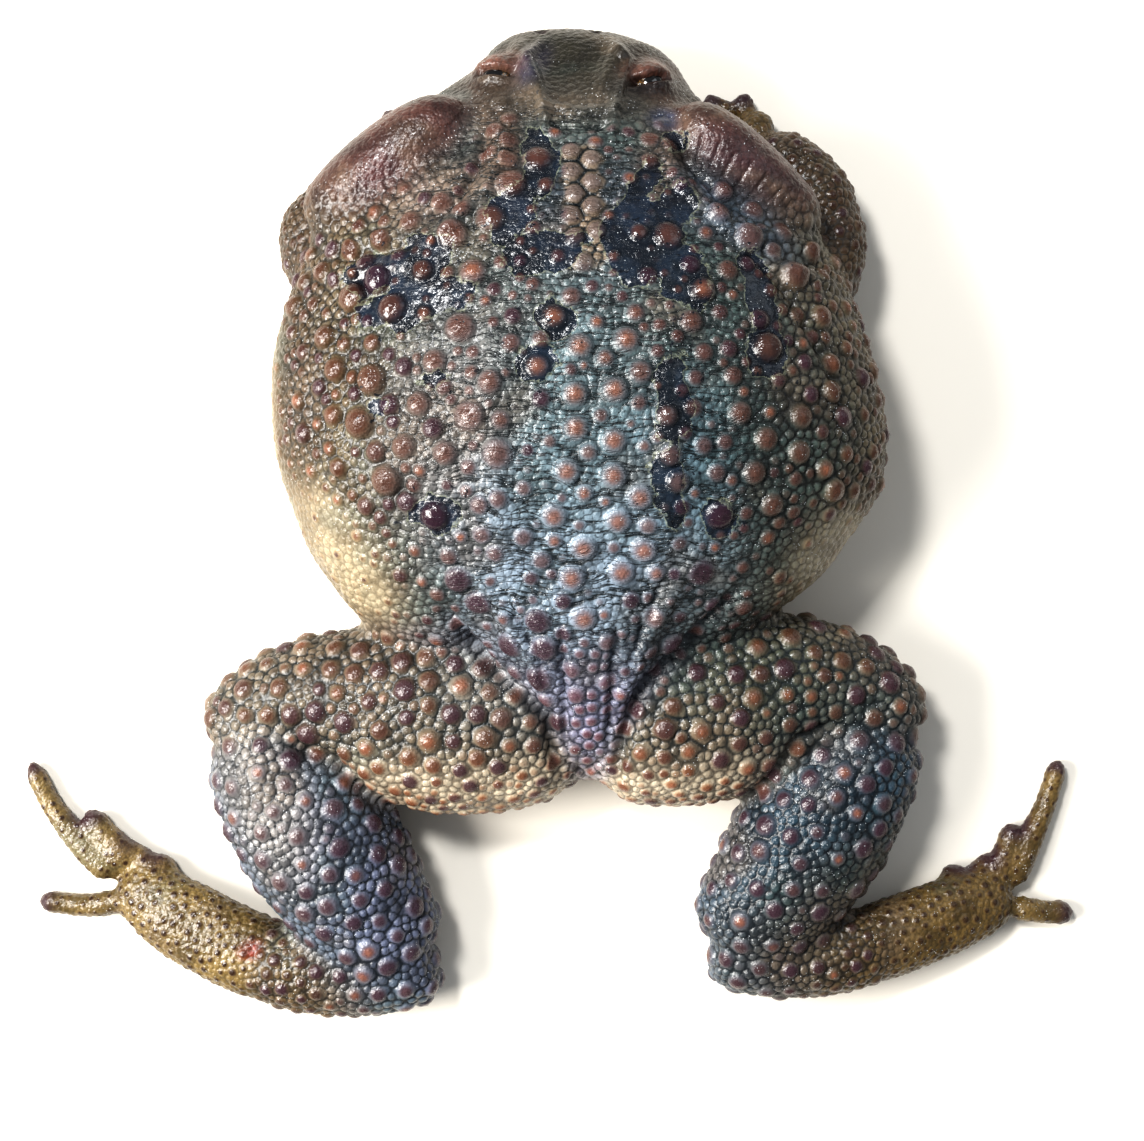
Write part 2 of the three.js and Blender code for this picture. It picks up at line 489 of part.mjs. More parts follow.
const WEB_STYLE = { sides: 8, rings: 5, ends: [1.5, 1.5] };
const THIGH_WARTS = { rows: 5, across: 2, span: [0.12, 0.96], reach: 1.15, radius: [1.7, 2.6], height: 0.9, seed: 21 };
const SHANK_WARTS = { rows: 5, across: 2, span: [0.08, 0.92], reach: 1, radius: [1.5, 2.4], height: 0.8, seed: 34 };
for (const [side, leg] of Object.entries(LEGS)) {
  grownNode(`thigh_${side}`, leg.thigh, THIGH_STYLE, LEG_HIDE, THIGH_WARTS);
  grownNode(`shank_${side}`, leg.shank, SHANK_STYLE, SHANK_HIDE, SHANK_WARTS);
  grownNode(`ankle_${side}`, leg.ankle, ANKLE_STYLE, FOOT_HIDE);
  const foot = form(leg.foot, FOOT_STYLE);
  const web = form(leg.web, WEB_STYLE);
  node(`foot_${side}`, foot.add(web), FOOT_HIDE);
  taken.push(form(leg.foot, FOOT_STYLE, GAP).add(form(leg.web, WEB_STYLE, GAP)));
  leg.toes.forEach((stations, i) => grownNode(`toe_${i + 1}_${side}`, stations, DIGIT_STYLE, FOOT_HIDE));
}

export default toad;
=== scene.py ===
"""A cane toad, life size, lying on its belly: one skin with its eyes, on a plain studio floor."""
import logging
import math
from dataclasses import dataclass, field
from enum import Enum

import bpy
import numpy as np
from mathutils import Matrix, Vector
from mathutils.bvhtree import BVHTree
from mathutils.kdtree import KDTree


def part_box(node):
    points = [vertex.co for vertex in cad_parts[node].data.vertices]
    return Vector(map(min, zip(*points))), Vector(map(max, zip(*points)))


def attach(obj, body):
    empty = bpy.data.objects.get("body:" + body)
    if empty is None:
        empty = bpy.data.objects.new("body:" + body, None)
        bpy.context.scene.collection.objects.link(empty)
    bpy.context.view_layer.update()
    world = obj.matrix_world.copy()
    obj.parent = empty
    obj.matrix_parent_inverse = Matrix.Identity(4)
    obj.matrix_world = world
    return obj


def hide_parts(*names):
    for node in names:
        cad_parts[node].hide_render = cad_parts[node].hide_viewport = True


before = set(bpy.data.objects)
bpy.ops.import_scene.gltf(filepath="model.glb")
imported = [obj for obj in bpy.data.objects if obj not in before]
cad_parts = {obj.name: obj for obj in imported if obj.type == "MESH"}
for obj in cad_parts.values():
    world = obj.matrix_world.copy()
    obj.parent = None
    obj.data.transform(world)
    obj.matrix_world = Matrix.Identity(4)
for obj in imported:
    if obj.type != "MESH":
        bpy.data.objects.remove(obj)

LOG = logging.getLogger("toad")
MM = 0.001
SEED = 7
EYES = ("eye_left", "eye_right")
FAR = 9.0  # outside of every patch and every pupil


def paint(code: str) -> tuple[float, float, float, float]:
    """Turn a screen colour into the light it stands for.

    Args:
        code: six hexadecimal digits.

    Returns:
        Red, green, blue and full cover, as the shader takes them.
    """
    parts = [int(code[i:i + 2], 16) / 255 for i in (0, 2, 4)]
    light = [p / 12.92 if p <= 0.04045 else ((p + 0.055) / 1.055) ** 2.4 for p in parts]
    return (*light, 1.0)


def ease(values: np.ndarray, low: float, high: float) -> np.ndarray:
    """Rise smoothly from 0 to 1 between two values.

    Args:
        values: the numbers to read.
        low: where the rise begins.
        high: where it ends; below low, the rise becomes a fall.

    Returns:
        Numbers from 0 to 1.
    """
    share = np.clip((values - low) / (high - low), 0, 1)
    return share * share * (3 - 2 * share)


def put(name: str, data: bpy.types.ID) -> bpy.types.Object:
    """Put an object into the scene.

    Args:
        name: what the object is called.
        data: the mesh, light or camera that it shows.

    Returns:
        The object.
    """
    made = bpy.data.objects.new(name, data)
    bpy.context.scene.collection.objects.link(made)
    return made


def carry(mesh: bpy.types.Mesh, name: str, values: np.ndarray | list[float]) -> None:
    """Let a mesh carry one number for each of its points."""
    mesh.attributes.new(name, "FLOAT", "POINT").data.foreach_set("value", values)


class Zone(Enum):
    """The kinds of skin that a toad has."""

    HEAD = "head"
    LID = "lid"
    GLAND = "gland"
    BACK = "back"
    FLANK = "flank"
    BELLY = "belly"
    RUMP = "rump"
    ARM = "arm"
    HAND = "hand"
    THIGH = "thigh"
    HAM = "ham"
    SHANK = "shank"
    ANKLE = "ankle"
    FOOT = "foot"
    TOE = "toe"


@dataclass(frozen=True)
class Hide:
    """How one kind of skin is grown and coloured. Lengths are in millimetres."""

    grain: float  # distance between its small domes
    uneven: float  # how much larger the largest of them is, in grains
    wart: float  # size of the warts between them, or 0 for none
    apart: float  # distance between those warts
    rise: float  # height of a dome one grain wide
    seam_depth: float  # depth of the creases between domes
    # The crease darkness below is partly the creases' own dark colour and partly painted shade.
    ink: float  # how dark the creases are, from 0 to 1
    cap: float  # how far the horny cap reaches over a dome
    adult: float  # size from which a dome has its cap
    rounds: int  # how long the plain form is smoothed
    ground: str
    seam: str
    rim: str
    tip: str


HIDES = {zone: Hide(*look) for zone, *look in (
    (Zone.HEAD, 1.2, 0.3, 0.0, 9.0, 0.07, 0.05, 0.4, 0.2, 9.0, 7, "2f2a22", "15120e", "40392e", "3b3128"),
    (Zone.LID, 1.2, 0.3, 0.0, 9.0, 0.08, 0.06, 0.45, 0.2, 9.0, 3, "4b352c", "1a1210", "5c4338", "553225"),
    (Zone.GLAND, 1.3, 0.4, 0.0, 9.0, 0.06, 0.05, 0.4, 0.2, 9.0, 12, "4b302a", "201010", "634840", "532d24"),
    (Zone.BACK, 1.3, 1.5, 3.8, 7.0, 0.14, 0.12, 0.75, 0.36, 2.2, 60, "56605c", "0d1416", "5b4c4c", "53342a"),
    (Zone.FLANK, 1.7, 1.2, 4.2, 6.0, 0.26, 0.24, 1.0, 0.42, 2.2, 60, "625945", "120f0a", "664f3a", "482b1d"),
    (Zone.BELLY, 1.5, 0.4, 2.5, 7.0, 0.14, 0.08, 0.6, 0.24, 2.0, 60, "a0947b", "514632", "8d795c", "4b301c"),
    (Zone.RUMP, 1.6, 0.8, 3.4, 5.4, 0.2, 0.2, 0.9, 0.34, 2.2, 40, "8c8da4", "161425", "83727c", "5b3a42"),
    (Zone.ARM, 1.5, 0.4, 2.6, 3.6, 0.18, 0.15, 0.85, 0.36, 1.8, 14, "4e3f2b", "160f08", "523c28", "3a2316"),
    (Zone.HAND, 1.4, 0.3, 0.0, 9.0, 0.1, 0.07, 0.6, 0.22, 1.3, 4, "5c4a29", "261d10", "63502e", "4a2d1a"),
    (Zone.THIGH, 1.8, 0.6, 4.6, 4.7, 0.23, 0.26, 1.0, 0.42, 2.5, 22, "645c4f", "0c1517", "7d6d5a", "4c3022"),
    (Zone.HAM, 1.5, 0.5, 3.2, 3.4, 0.18, 0.16, 0.75, 0.4, 1.9, 22, "bfb5a0", "41362a", "a88c70", "6c432b"),
    (Zone.SHANK, 1.7, 0.5, 4.6, 5.0, 0.19, 0.24, 1.0, 0.38, 2.6, 16, "596470", "0b1117", "74767f", "40272a"),
    (Zone.ANKLE, 1.4, 0.5, 2.8, 3.2, 0.17, 0.16, 0.95, 0.4, 1.8, 10, "64543a", "15110b", "6d5a40", "38241a"),
    (Zone.FOOT, 1.1, 0.3, 1.8, 2.0, 0.12, 0.08, 0.5, 0.42, 1.4, 6, "7a673d", "2b210d", "6a5431", "27150b"),
    (Zone.TOE, 1.1, 0.3, 1.5, 2.2, 0.08, 0.05, 0.45, 0.4, 1.3, 3, "7c6940", "2b210d", "6a5431", "2a180c"),
)}
ZONES = list(HIDES)

PART_ZONES = {
    "upper_arm": Zone.ARM, "forearm": Zone.ARM, "hand": Zone.HAND, "finger": Zone.HAND,
    "thigh": Zone.THIGH, "shank": Zone.SHANK, "ankle": Zone.ANKLE, "foot": Zone.FOOT,
    "toe": Zone.TOE, "upper_lid": Zone.LID, "lower_lid": Zone.LID, "eye": Zone.LID,
    "gland": Zone.GLAND, "trunk": Zone.BACK, "chest": Zone.BACK, "rump": Zone.RUMP,
    "lower_jaw": Zone.BELLY,
}


@dataclass(frozen=True)
class Wart:
    """A large wart: place from above and size in millimetres, and tone, 0 orange to 1 maroon."""

    x: float
    y: float
    size: float
    tone: float


@dataclass(frozen=True)
class Patch:
    """An oval seen from above: middle, half lengths in millimetres and turn in degrees."""

    x: float
    y: float
    long: float
    short: float
    turn: float = 0.0

    def depth(self, x: np.ndarray, y: np.ndarray) -> np.ndarray:
        """Measure how deep places lie in the oval.

        Args:
            x: their x in millimetres.
            y: their y in millimetres.

        Returns:
            1 in the middle, 0 on the edge and less outside.
        """
        turn = math.radians(self.turn)
        along = ((x - self.x) * math.cos(turn) + (y - self.y) * math.sin(turn)) / self.long
        across = ((y - self.y) * math.cos(turn) - (x - self.x) * math.sin(turn)) / self.short
        return 1 - np.hypot(along, across)


@dataclass(frozen=True)
class Fold:
    """A fold seen from above: points in millimetres, half width, and rise, or depth if under 0."""

    path: tuple[tuple[float, float], ...]
    half_width: float
    rise: float


WARTS = tuple(Wart(x, y, size, tone) for size, tone, places in (
    (6.0, 0.1, (
        (-6.6, 10.6), (-9.9, 1.8), (-2.3, 5.0), (-2.5, -3.4), (4.4, -2.6), (-3.0, -10.1),
        (4.4, -12.4), (-4.0, -17.8), (4.1, -18.5), (-6.9, -25.8), (5.2, -27.0), (9.9, -32.0),
        (-1.0, -31.8), (-3.4, -37.2), (6.1, -36.4), (6.6, 6.3), (20.7, 16.2), (-22.3, 19.7),
        (8.8, -22.4), (-1.4, -45.2), (3.4, -44.8))),
    (6.8, 0.4, (
        (-17.1, -14.4), (-22.6, -7.6), (-38.4, -19.4), (-43.5, -8.0), (33.3, 5.7), (-21.8, 14.6),
        (-9.5, 42.4), (-37.0, 13.3), (-25.6, 26.6), (-24.0, 8.6), (39.0, 20.0), (30.0, 27.0),
        (14.5, 27.0), (-14.6, 36.7), (-18.9, 30.4), (-40.7, -0.6), (-45.1, 15.9))),
    (5.4, 0.3, (
        (-26.8, -14.4), (-34.8, -13.1), (12.2, -44.8), (14.3, -7.8), (14.8, -14.3), (9.4, 0.1),
        (16.2, -19.6), (28.0, -7.2), (32.9, -11.8), (30.8, -17.9), (39.7, -7.2), (39.7, -14.3),
        (34.2, -23.5), (-48.0, 2.0), (46.0, -2.0), (47.0, -21.0), (-28.9, 2.6), (-32.0, -5.5),
        (-18.5, -1.4), (-50.4, 8.5), (18.8, 10.3), (24.5, 31.3), (44.5, 12.4), (-57.8, 15.7))),
    (4.4, 0.5, (
        (-20.3, -29.2), (-20.7, -24.0), (-17.0, -22.6), (-9.4, -34.0), (-12.4, -29.6), (-3.6, -55.4),
        (-2.9, -60.6), (3.4, -50.0), (3.4, -58.0), (-17.6, 55.0), (-15.4, 51.4), (-18.4, 48.6),
        (-15.6, 46.0), (-19.4, 43.4), (14.0, 50.6), (11.4, 47.0), (15.4, 45.4), (11.8, 42.0),
        (19.0, -6.0), (20.8, -12.6), (23.6, -18.0), (26.4, 0.4), (21.4, 4.4), (-14.6, 5.6))),
    (4.6, 0.35, (
        (-3.5, 44.0), (-3.6, 39.8), (-3.0, 35.0), (-3.4, 30.6), (0.2, 42.4), (0.6, 37.0), (0.4, 32.4),
        (0.8, 27.6), (-2.4, 26.0), (-1.2, 21.6))),
    (4.8, 0.45, (
        (-28.0, 33.6), (-34.3, 30.2), (-39.8, 27.0), (-46.0, 25.0), (-52.0, 21.6), (-3.8, 14.6),
        (25.6, 36.4), (31.4, 32.6), (37.0, 29.0), (43.0, 25.4), (-31.4, 20.4), (25.8, 20.6))),
    (6.2, 1.0, (
        (-28.9, -26.0), (-25.1, -37.6), (-21.4, -42.4), (-15.1, -50.6), (-9.9, -45.6), (-8.6, -51.2),
        (24.0, -25.7), (11.7, -45.0), (16.4, -50.6), (21.3, -36.2), (-40.0, 18.6), (-23.0, -31.0),
        (-9.6, -57.0), (7.2, -56.0), (7.6, -50.4))),
) for x, y in places)

PATCHES = (
    Patch(-34, 14, 10.5, 4.2, 12), Patch(-33, 21.5, 8, 4.5, 28), Patch(-8, 23.5, 7.5, 4.5, 10),
    Patch(-15, 31, 6.5, 4, 55), Patch(10, 26, 8, 9, 0), Patch(17, 20, 5, 7, 30),
    Patch(32, 16, 3.2, 9, 14), Patch(33.2, 4.2, 4.6, 4.6), Patch(15, -5, 3, 10, 0),
    Patch(14.5, -20, 3, 7, 12), Patch(-6.6, 10.6, 3.9, 3.6), Patch(-9.9, 2.3, 3.9, 3.4),
    Patch(-29, -25.6, 4.4, 3.6), Patch(-40, -5, 1.6, 1.6), Patch(-28.5, -0.5, 2.2, 1.6),
    Patch(24.2, -26.5, 3.0, 3.4), Patch(16.6, 46, 2.6, 2.2), Patch(17, 33, 3, 4, 40),
    Patch(-9.5, 41, 3.4, 7, 8), Patch(10.5, 38, 2.4, 5, -12), Patch(-41, 20, 6, 4.4, 35),
)


@dataclass(frozen=True)
class StainAndShade:
    """A broad soft colour over the skin, partly stain and partly painted shade and painted sky reflection:
    its oval, colour and strength.
    """

    oval: Patch
    colour: str
    strength: float


# Painted light among these stains: the dark ovals on the right side (33484a, 3b463c, 183440, 5d4a28) are
# painted shade of the side away from the light. The blue-grey ovals on the back (909fae, 667a80, 5f6f80,
# 5f7884) are partly painted sky reflection. The brown oval on the left flank (3c2b16) is partly painted warm
# bounce light.
STAINS_AND_SHADE = tuple(StainAndShade(Patch(*oval), colour, strength) for *oval, colour, strength in (
    (-27, -10, 26, 13, 78, "74706f", 0.7), (31, -8, 34, 18, 96, "33484a", 0.75),
    (-2, -36, 24, 22, 0, "909fae", 0.85), (2, 31, 22, 13, 0, "2f3a4a", 0.65),
    (-2, -6, 13, 24, 0, "667a80", 0.8), (-58, 4, 36, 9, 87, "3c2b16", 0.85),
    (-19, -61, 14, 9, -30, "7c7c78", 0.5), (30, -56, 26, 12, -18, "3b463c", 0.7),
    (-64, -83, 20, 9, -62, "93897c", 0.6), (-40, -104, 24, 12, -58, "5d6078", 0.6),
    (47, -93, 36, 20, 55, "183440", 0.9), (70, -104, 40, 17, 22, "5d4a28", 0.7),
    (-69.4, -114, 2.8, 2.0, 20, "7a1a0a", 0.9), (-27, 36, 13, 5, 28, "8a776c", 0.7),
    (29, 38, 15, 8, -35, "2b2230", 0.5), (-38, 40, 12, 5, 38, "48222a", 0.5),
    (-17, 46, 4.4, 12, 8, "6a513f", 0.7), (13.6, 44, 4.4, 11, -8, "5c4739", 0.7),
    # The two near black ovals on the next line are painted shade in the slits of the eyes.
    (-18, 61.2, 6.4, 2.0, -4, "120d0d", 0.9), (11.8, 59.6, 6.6, 2.2, 14, "120d0d", 0.9),
    (29, 30, 14, 5, -35, "5f6f80", 0.6), (17, -17, 17, 10, 98, "5f7884", 0.55),
    (-20, 27, 10, 5, 40, "6a5a44", 0.5), (-18, 64.6, 6, 2.6, -8, "7a5448", 0.6),
    (12.6, 63.2, 6, 2.6, 12, "6d4b41", 0.6), (-2.6, 67, 11, 7, 0, "26251b", 0.7),
    (-11.6, 63, 3, 6, -30, "33324a", 0.5), (-2, 53.5, 12, 3.6, 0, "554c41", 0.5),
    (14.4, 51.6, 3, 2.6, 0, "203e60", 0.6),
))

LOBES = (Patch(-50.5, -34, 19, 8, -55), Patch(-64.5, 2, 28, 3.4, 90), Patch(46.5, -34, 11, 6, 48))
HEELS = ((-31.0, -115.0), (25.4, -112.0))

FOLDS = (
    Fold(((-32, -41), (-28.4, -44), (-18.9, -55.7), (-8.3, -65), (-6.3, -76), (-6, -80)), 1.2, -2.2),
    Fold(((32, -37), (28.6, -40), (19.8, -49.9), (10, -59.7), (6.4, -69.5), (5, -80)), 1.2, -2.2),
    Fold(((-62, -70.6), (-51.4, -74.3), (-44.7, -81.7), (-37, -87)), 1.3, -1.6),
    Fold(((51, -66.4), (42.2, -69.8), (36, -79), (30.6, -85)), 1.3, -1.6),
    Fold(((-34, 24), (-26, 29.5), (-20, 35), (-17, 43), (-15.5, 53)), 1.6, 1.2),
    Fold(((-33, 29), (-25, 34), (-21, 42), (-19.5, 50)), 0.9, -1.1),
    Fold(((-51, 27), (-41, 27.4), (-33, 29)), 1.1, 0.9),
    Fold(((-53, 20), (-42, 21), (-31, 22)), 1.1, 0.8),
    Fold(((-50, 23.6), (-41, 24.2), (-32, 25.6)), 0.8, -0.8),
    Fold(((36, 26), (26, 29.5), (18.5, 36), (14.5, 44), (12.5, 53)), 1.5, 1.1),
    Fold(((34, 31), (25, 35), (19, 42), (16.5, 50)), 0.9, -1.0),
    Fold(((-8, 71), (-12.5, 65), (-10, 58), (-8.5, 51), (-8, 45)), 1.2, 1.2),
    Fold(((3, 71), (7.5, 64.5), (5.5, 57), (4.5, 50), (4, 44)), 1.2, 1.2),
    Fold(((-11, 54.6), (-2, 52.4), (8, 54.2)), 1.0, 0.7),
    Fold(((-10, 50.4), (-2, 48.8), (6, 50)), 0.7, -0.8),
    Fold(((-24, -33), (-16, -45.5), (-9.4, -56), (-6.2, -66)), 1.7, 1.1),
    Fold(((22, -29), (14.4, -43), (8.6, -54), (5.2, -65)), 1.7, 1.1),
    Fold(((-5.6, -44), (-5, -56), (-4.8, -74)), 0.8, -1.0),
    Fold(((5.4, -44), (4.4, -56), (3.6, -74)), 0.8, -1.0),
    Fold(((-15.6, -42), (-10.5, -51), (-7.4, -60)), 0.7, -0.8),
    Fold(((14, -37), (9.6, -49), (6.6, -58)), 0.7, -0.8),
    Fold(((47, 26), (40, 27), (31, 29.6)), 1.1, 0.8),
    Fold(((27, 28), (37, 17), (45.5, 3), (50, -9)), 0.8, -0.9),
    Fold(((49, 19), (41, 20.4), (33, 22)), 1.0, 0.7),
    Fold(((47, 22.6), (40, 23.6), (31, 25.4)), 0.8, -0.7),
    Fold(((-17, 12), (-19, -10), (-16, -34), (-12, -50)), 3.4, 0.7),
    Fold(((13, 14), (15, -8), (14, -30), (11, -48)), 3.4, 0.7),
    Fold(((-6, -73), (-1, -77), (4.4, -73)), 0.6, -0.8),
    Fold(((-5, -76), (-1, -79.4), (3.6, -76)), 0.5, -0.6),
    *(Fold(((x, y), (x + reach * math.cos(turn), y + reach * math.sin(turn))), 0.32, -0.34)
      for x, y, reach, turn in (
          (-23.5, 39.0, 8.0, 1.75), (-25.5, 37.6, 9.0, 1.9), (-27.5, 36.0, 8.0, 2.05),
          (-29.6, 35.0, 9.5, 2.1), (-31.8, 33.8, 8.5, 2.2), (-34.2, 32.6, 9.0, 2.3),
          (-36.6, 31.4, 7.5, 2.35), (-39.2, 30.2, 8.5, 2.5), (-42.0, 29.2, 7.0, 2.6),
          (20.0, 41.0, 7.5, 1.3), (22.4, 39.4, 8.5, 1.2), (24.8, 37.8, 8.0, 1.1),
          (27.2, 36.2, 8.5, 1.0), (29.8, 34.6, 8.0, 0.9), (32.6, 33.0, 7.5, 0.8),
          (35.4, 31.6, 7.0, 0.7))),
)


@dataclass(frozen=True)
class Tiles:
    """Rows of flat plates along the middle of the rump: both ends, columns and spacing."""

    start: tuple[float, float]
    end: tuple[float, float]
    columns: tuple[float, ...]
    spacing: float

    def places(self) -> list[tuple[float, float]]:
        """List the middles of the plates.

        Returns:
            Their x and y in millimetres.
        """
        length = math.dist(self.start, self.end)
        found = []
        for row in range(int(length / self.spacing) + 1):
            share = row * self.spacing / length
            x, y = (a + (b - a) * share for a, b in zip(self.start, self.end))
            sway = 0.3 * math.sin(2.4 * row + self.start[0])
            found.extend((x + column + sway, y + sway * column) for column in self.columns)
        return found


NAPE = ((-1.8, 46.0), (-0.4, 19.0))
PLATES = Tiles((1.0, -49.5), (-0.6, -76.0), (-2.5, 0.0, 2.5), 2.7)


@dataclass
class Sheet:
    """A surface in millimetres as plain arrays, with sums over its edges and faces."""

    points: np.ndarray
    edges: np.ndarray
    faces: np.ndarray

    @classmethod
    def of(cls, mesh: bpy.types.Mesh) -> "Sheet":
        """Read a mesh whose faces all have four corners.

        Args:
            mesh: the mesh to read, in millimetres.

        Returns:
            Its points, edges and faces as a sheet.
        """
        points = np.empty(len(mesh.vertices) * 3)
        mesh.vertices.foreach_get("co", points)
        edges = np.empty(len(mesh.edges) * 2, int)
        mesh.edges.foreach_get("vertices", edges)
        faces = np.empty(len(mesh.loops), int)
        mesh.loops.foreach_get("vertex_index", faces)
        return cls(points.reshape(-1, 3), edges.reshape(-1, 2), faces.reshape(-1, 4))

    def mean(self, values: np.ndarray) -> np.ndarray:
        """Give each point the mean of its neighbours.

        Args:
            values: one row for each point.

        Returns:
            The means, in the same order.
        """
        here = self.edges.T.ravel()
        there = self.edges[:, ::-1].T.ravel()
        many = np.bincount(here, minlength=len(self.points))
        rows = values.reshape(len(values), -1)
        sums = [np.bincount(here, column[there], len(self.points)) for column in rows.T]
        return (np.array(sums).T / many[:, None]).reshape(values.shape)

    def soften(self, values: np.ndarray, rounds: np.ndarray | int) -> np.ndarray:
        """Average values with their neighbours again and again.

        Args:
            values: one row for each point.
            rounds: how many times, for all points or for each one.

        Returns:
            The softened values.
        """
        rounds = np.broadcast_to(rounds, len(values))
        for turn in range(int(np.ceil(rounds.max()))):
            share = np.clip(rounds - turn, 0, 1).reshape(-1, *[1] * (values.ndim - 1))
            values = values + share * (self.mean(values) - values)
        return values

    def to_mesh(self, name: str, unit: float) -> bpy.types.Mesh:
        """Make a mesh of the surface.

        Args:
            name: what the mesh is called.
            unit: the length of a millimetre in it.

        Returns:
            The mesh, with the edges in the sheet's own order.
        """
        mesh = bpy.data.meshes.new(name)
        mesh.vertices.add(len(self.points))
        mesh.vertices.foreach_set("co", (self.points * unit).ravel())
        mesh.edges.add(len(self.edges))
        mesh.edges.foreach_set("vertices", self.edges.ravel())
        mesh.loops.add(self.faces.size)
        mesh.loops.foreach_set("vertex_index", self.faces.ravel())
        mesh.polygons.add(len(self.faces))
        mesh.polygons.foreach_set("loop_start", np.arange(0, self.faces.size, 4))
        mesh.update(calc_edges=True)
        mesh.shade_smooth()
        return mesh

    def normals(self) -> np.ndarray:
        """Find the direction that the surface faces at each point.

        Returns:
            One unit vector for each point.
        """
        a, b, c, d = (self.points[self.faces[:, k]] for k in range(4))
        across = np.repeat(np.cross(c - a, d - b), 4, axis=0)
        corners = self.faces.ravel()
        total = np.array([np.bincount(corners, across[:, k], len(self.points)) for k in range(3)]).T
        return total / np.maximum(np.linalg.norm(total, axis=1, keepdims=True), 1e-9)


def weld(mesh: bpy.types.Mesh) -> tuple[np.ndarray, np.ndarray]:
    """Read a solid's mesh in millimetres with its doubled corners joined.

    Args:
        mesh: the mesh of one solid, in metres.

    Returns:
        Its corners and its triangles.
    """
    places = np.empty(len(mesh.vertices) * 3)
    mesh.vertices.foreach_get("co", places)
    corners = np.empty(len(mesh.loops), int)
    mesh.loops.foreach_get("vertex_index", corners)
    points, kept = np.unique(np.round(places.reshape(-1, 3) / MM, 4), axis=0, return_inverse=True)
    return points, kept.reshape(-1)[corners].reshape(-1, 3)


def swell(points: np.ndarray, triangles: np.ndarray, by: float) -> np.ndarray:
    """Push a closed form outwards all round.

    Args:
        points: its corners.
        triangles: its faces.
        by: how far, in millimetres.

    Returns:
        The moved corners.
    """
    a, b, c = (points[triangles[:, k]] for k in range(3))
    facing = np.cross(b - a, c - a)
    out = np.zeros_like(points)
    for k in range(3):
        np.add.at(out, triangles[:, k], facing)
    return points + by * out / np.maximum(np.linalg.norm(out, axis=1, keepdims=True), 1e-9)


def near_path(places: np.ndarray, path: tuple[tuple[float, float], ...]) -> tuple[np.ndarray, np.ndarray]:
    """Measure from above how far points are from a line.

    Args:
        places: the points.
        path: the line's corners as x and y.

    Returns:
        The distance of each point, and how far along the line it is, from 0 to 1.
    """
    corners = np.array(path)
    runs = np.linalg.norm(np.diff(corners, axis=0), axis=1)
    starts = np.concatenate(([0], np.cumsum(runs)))
    best = np.full(len(places), np.inf)
    along = np.zeros(len(places))
    for k, run in enumerate(runs):
        step = (corners[k + 1] - corners[k]) / run
        offset = places[:, :2] - corners[k]
        travel = np.clip(offset @ step, 0, run)
        away = np.linalg.norm(offset - travel[:, None] * step, axis=1)
        closer = away < best
        best = np.where(closer, away, best)
        along = np.where(closer, (starts[k] + travel) / starts[-1], along)
    return best, along


@dataclass
class Sowing:
    """Domes sown over the skin, none closer to another than their sizes allow."""

    crowding: float = 0.86
    neighbours: int = 8
    places: np.ndarray = field(default_factory=lambda: np.empty((0, 3)))
    sizes: np.ndarray = field(default_factory=lambda: np.empty(0))
    tones: np.ndarray = field(default_factory=lambda: np.empty(0))

    @staticmethod
    def tree_of(places: np.ndarray) -> KDTree:
        """Put places into a tree that finds the nearest ones quickly."""
        tree = KDTree(len(places))
        for index, place in enumerate(places):
            tree.insert(place, index)
        tree.balance()
        return tree

    def sow(self, ground: np.ndarray, look: dict[str, np.ndarray],
            first: list[tuple[int, float, float]]) -> None:
        """Choose where the domes stand.

        Args:
            ground: the places that a dome may have.
            look: grain, uneven, wart and apart at each of them.
            first: index, size and tone of those that are listed.
        """
        luck = np.random.default_rng(SEED)
        many = len(ground)
        sizes = look["grain"] * (1 + look["uneven"] * luck.random(many) ** 2.5)
        tones = luck.random(many)
        for index, size, tone in first:
            sizes[index], tones[index] = size, tone
        tree = self.tree_of(ground)
        order = list(luck.permutation(many))
        warts = self.spread(tree, ground, look, order, first)
        sizes[warts] = look["wart"][warts] * luck.uniform(0.78, 1.16, len(warts))
        order = [index for index, _, _ in first] + warts + order
        free = np.ones(len(ground), bool)
        kept = []
        widest = sizes.max()
        for index in order:
            if not free[index]:
                continue
            kept.append(index)
            free[index] = False
            for _, other, away in tree.find_range(ground[index], (sizes[index] + widest) / 2):
                if away < self.crowding * (sizes[index] + sizes[other]) / 2:
                    free[other] = False
        self.places = ground[kept]
        self.sizes = sizes[kept]
        self.tones = tones[kept]

    @staticmethod
    def spread(tree: KDTree, ground: np.ndarray, look: dict[str, np.ndarray], order: list[int],
               first: list[tuple[int, float, float]]) -> list[int]:
        """Spread warts over the skin, clear of each other and of the listed ones.

        Args:
            tree: the places in a tree.
            ground: the places that a wart may have.
            look: wart and apart at each of them.
            order: the order in which the places are tried.
            first: index, size and tone of those that are listed.

        Returns:
            The index of each wart.
        """
        free = look["wart"] > look["grain"]
        for index, size, _ in first:
            for _, other, _ in tree.find_range(ground[index], (size + look["wart"][index]) / 2):
                free[other] = False
        warts = []
        for index in order:
            if free[index]:
                warts.append(index)
                for _, other, _ in tree.find_range(ground[index], look["apart"][index]):
                    free[other] = False
        return warts

    def cells(self, coarse: np.ndarray, fine: np.ndarray,
              parent: np.ndarray) -> tuple[np.ndarray, np.ndarray, np.ndarray]:
        """Find for each fine point the dome that it belongs to.

        Args:
            coarse: the points of the coarse surface.
            fine: the points of the fine one.
            parent: the coarse point beside each fine one.

        Returns:
            The distance to its dome and to the next one, in dome sizes, and the dome's index.
        """
        tree = self.tree_of(self.places)
        around = np.array([[index for _, index, _ in tree.find_n(point, self.neighbours)]
                           for point in coarse], np.int32)
        index = around[parent]
        away = np.empty(index.shape)
        for k in range(self.neighbours):
            step = fine - self.places[index[:, k]]
            away[:, k] = np.sqrt((step * step).sum(1)) / self.sizes[index[:, k]]
        order = np.argsort(away, axis=1)[:, :2]
        away = np.take_along_axis(away, order, 1)
        return away[:, 0], away[:, 1], np.take_along_axis(index, order, 1)[:, 0]


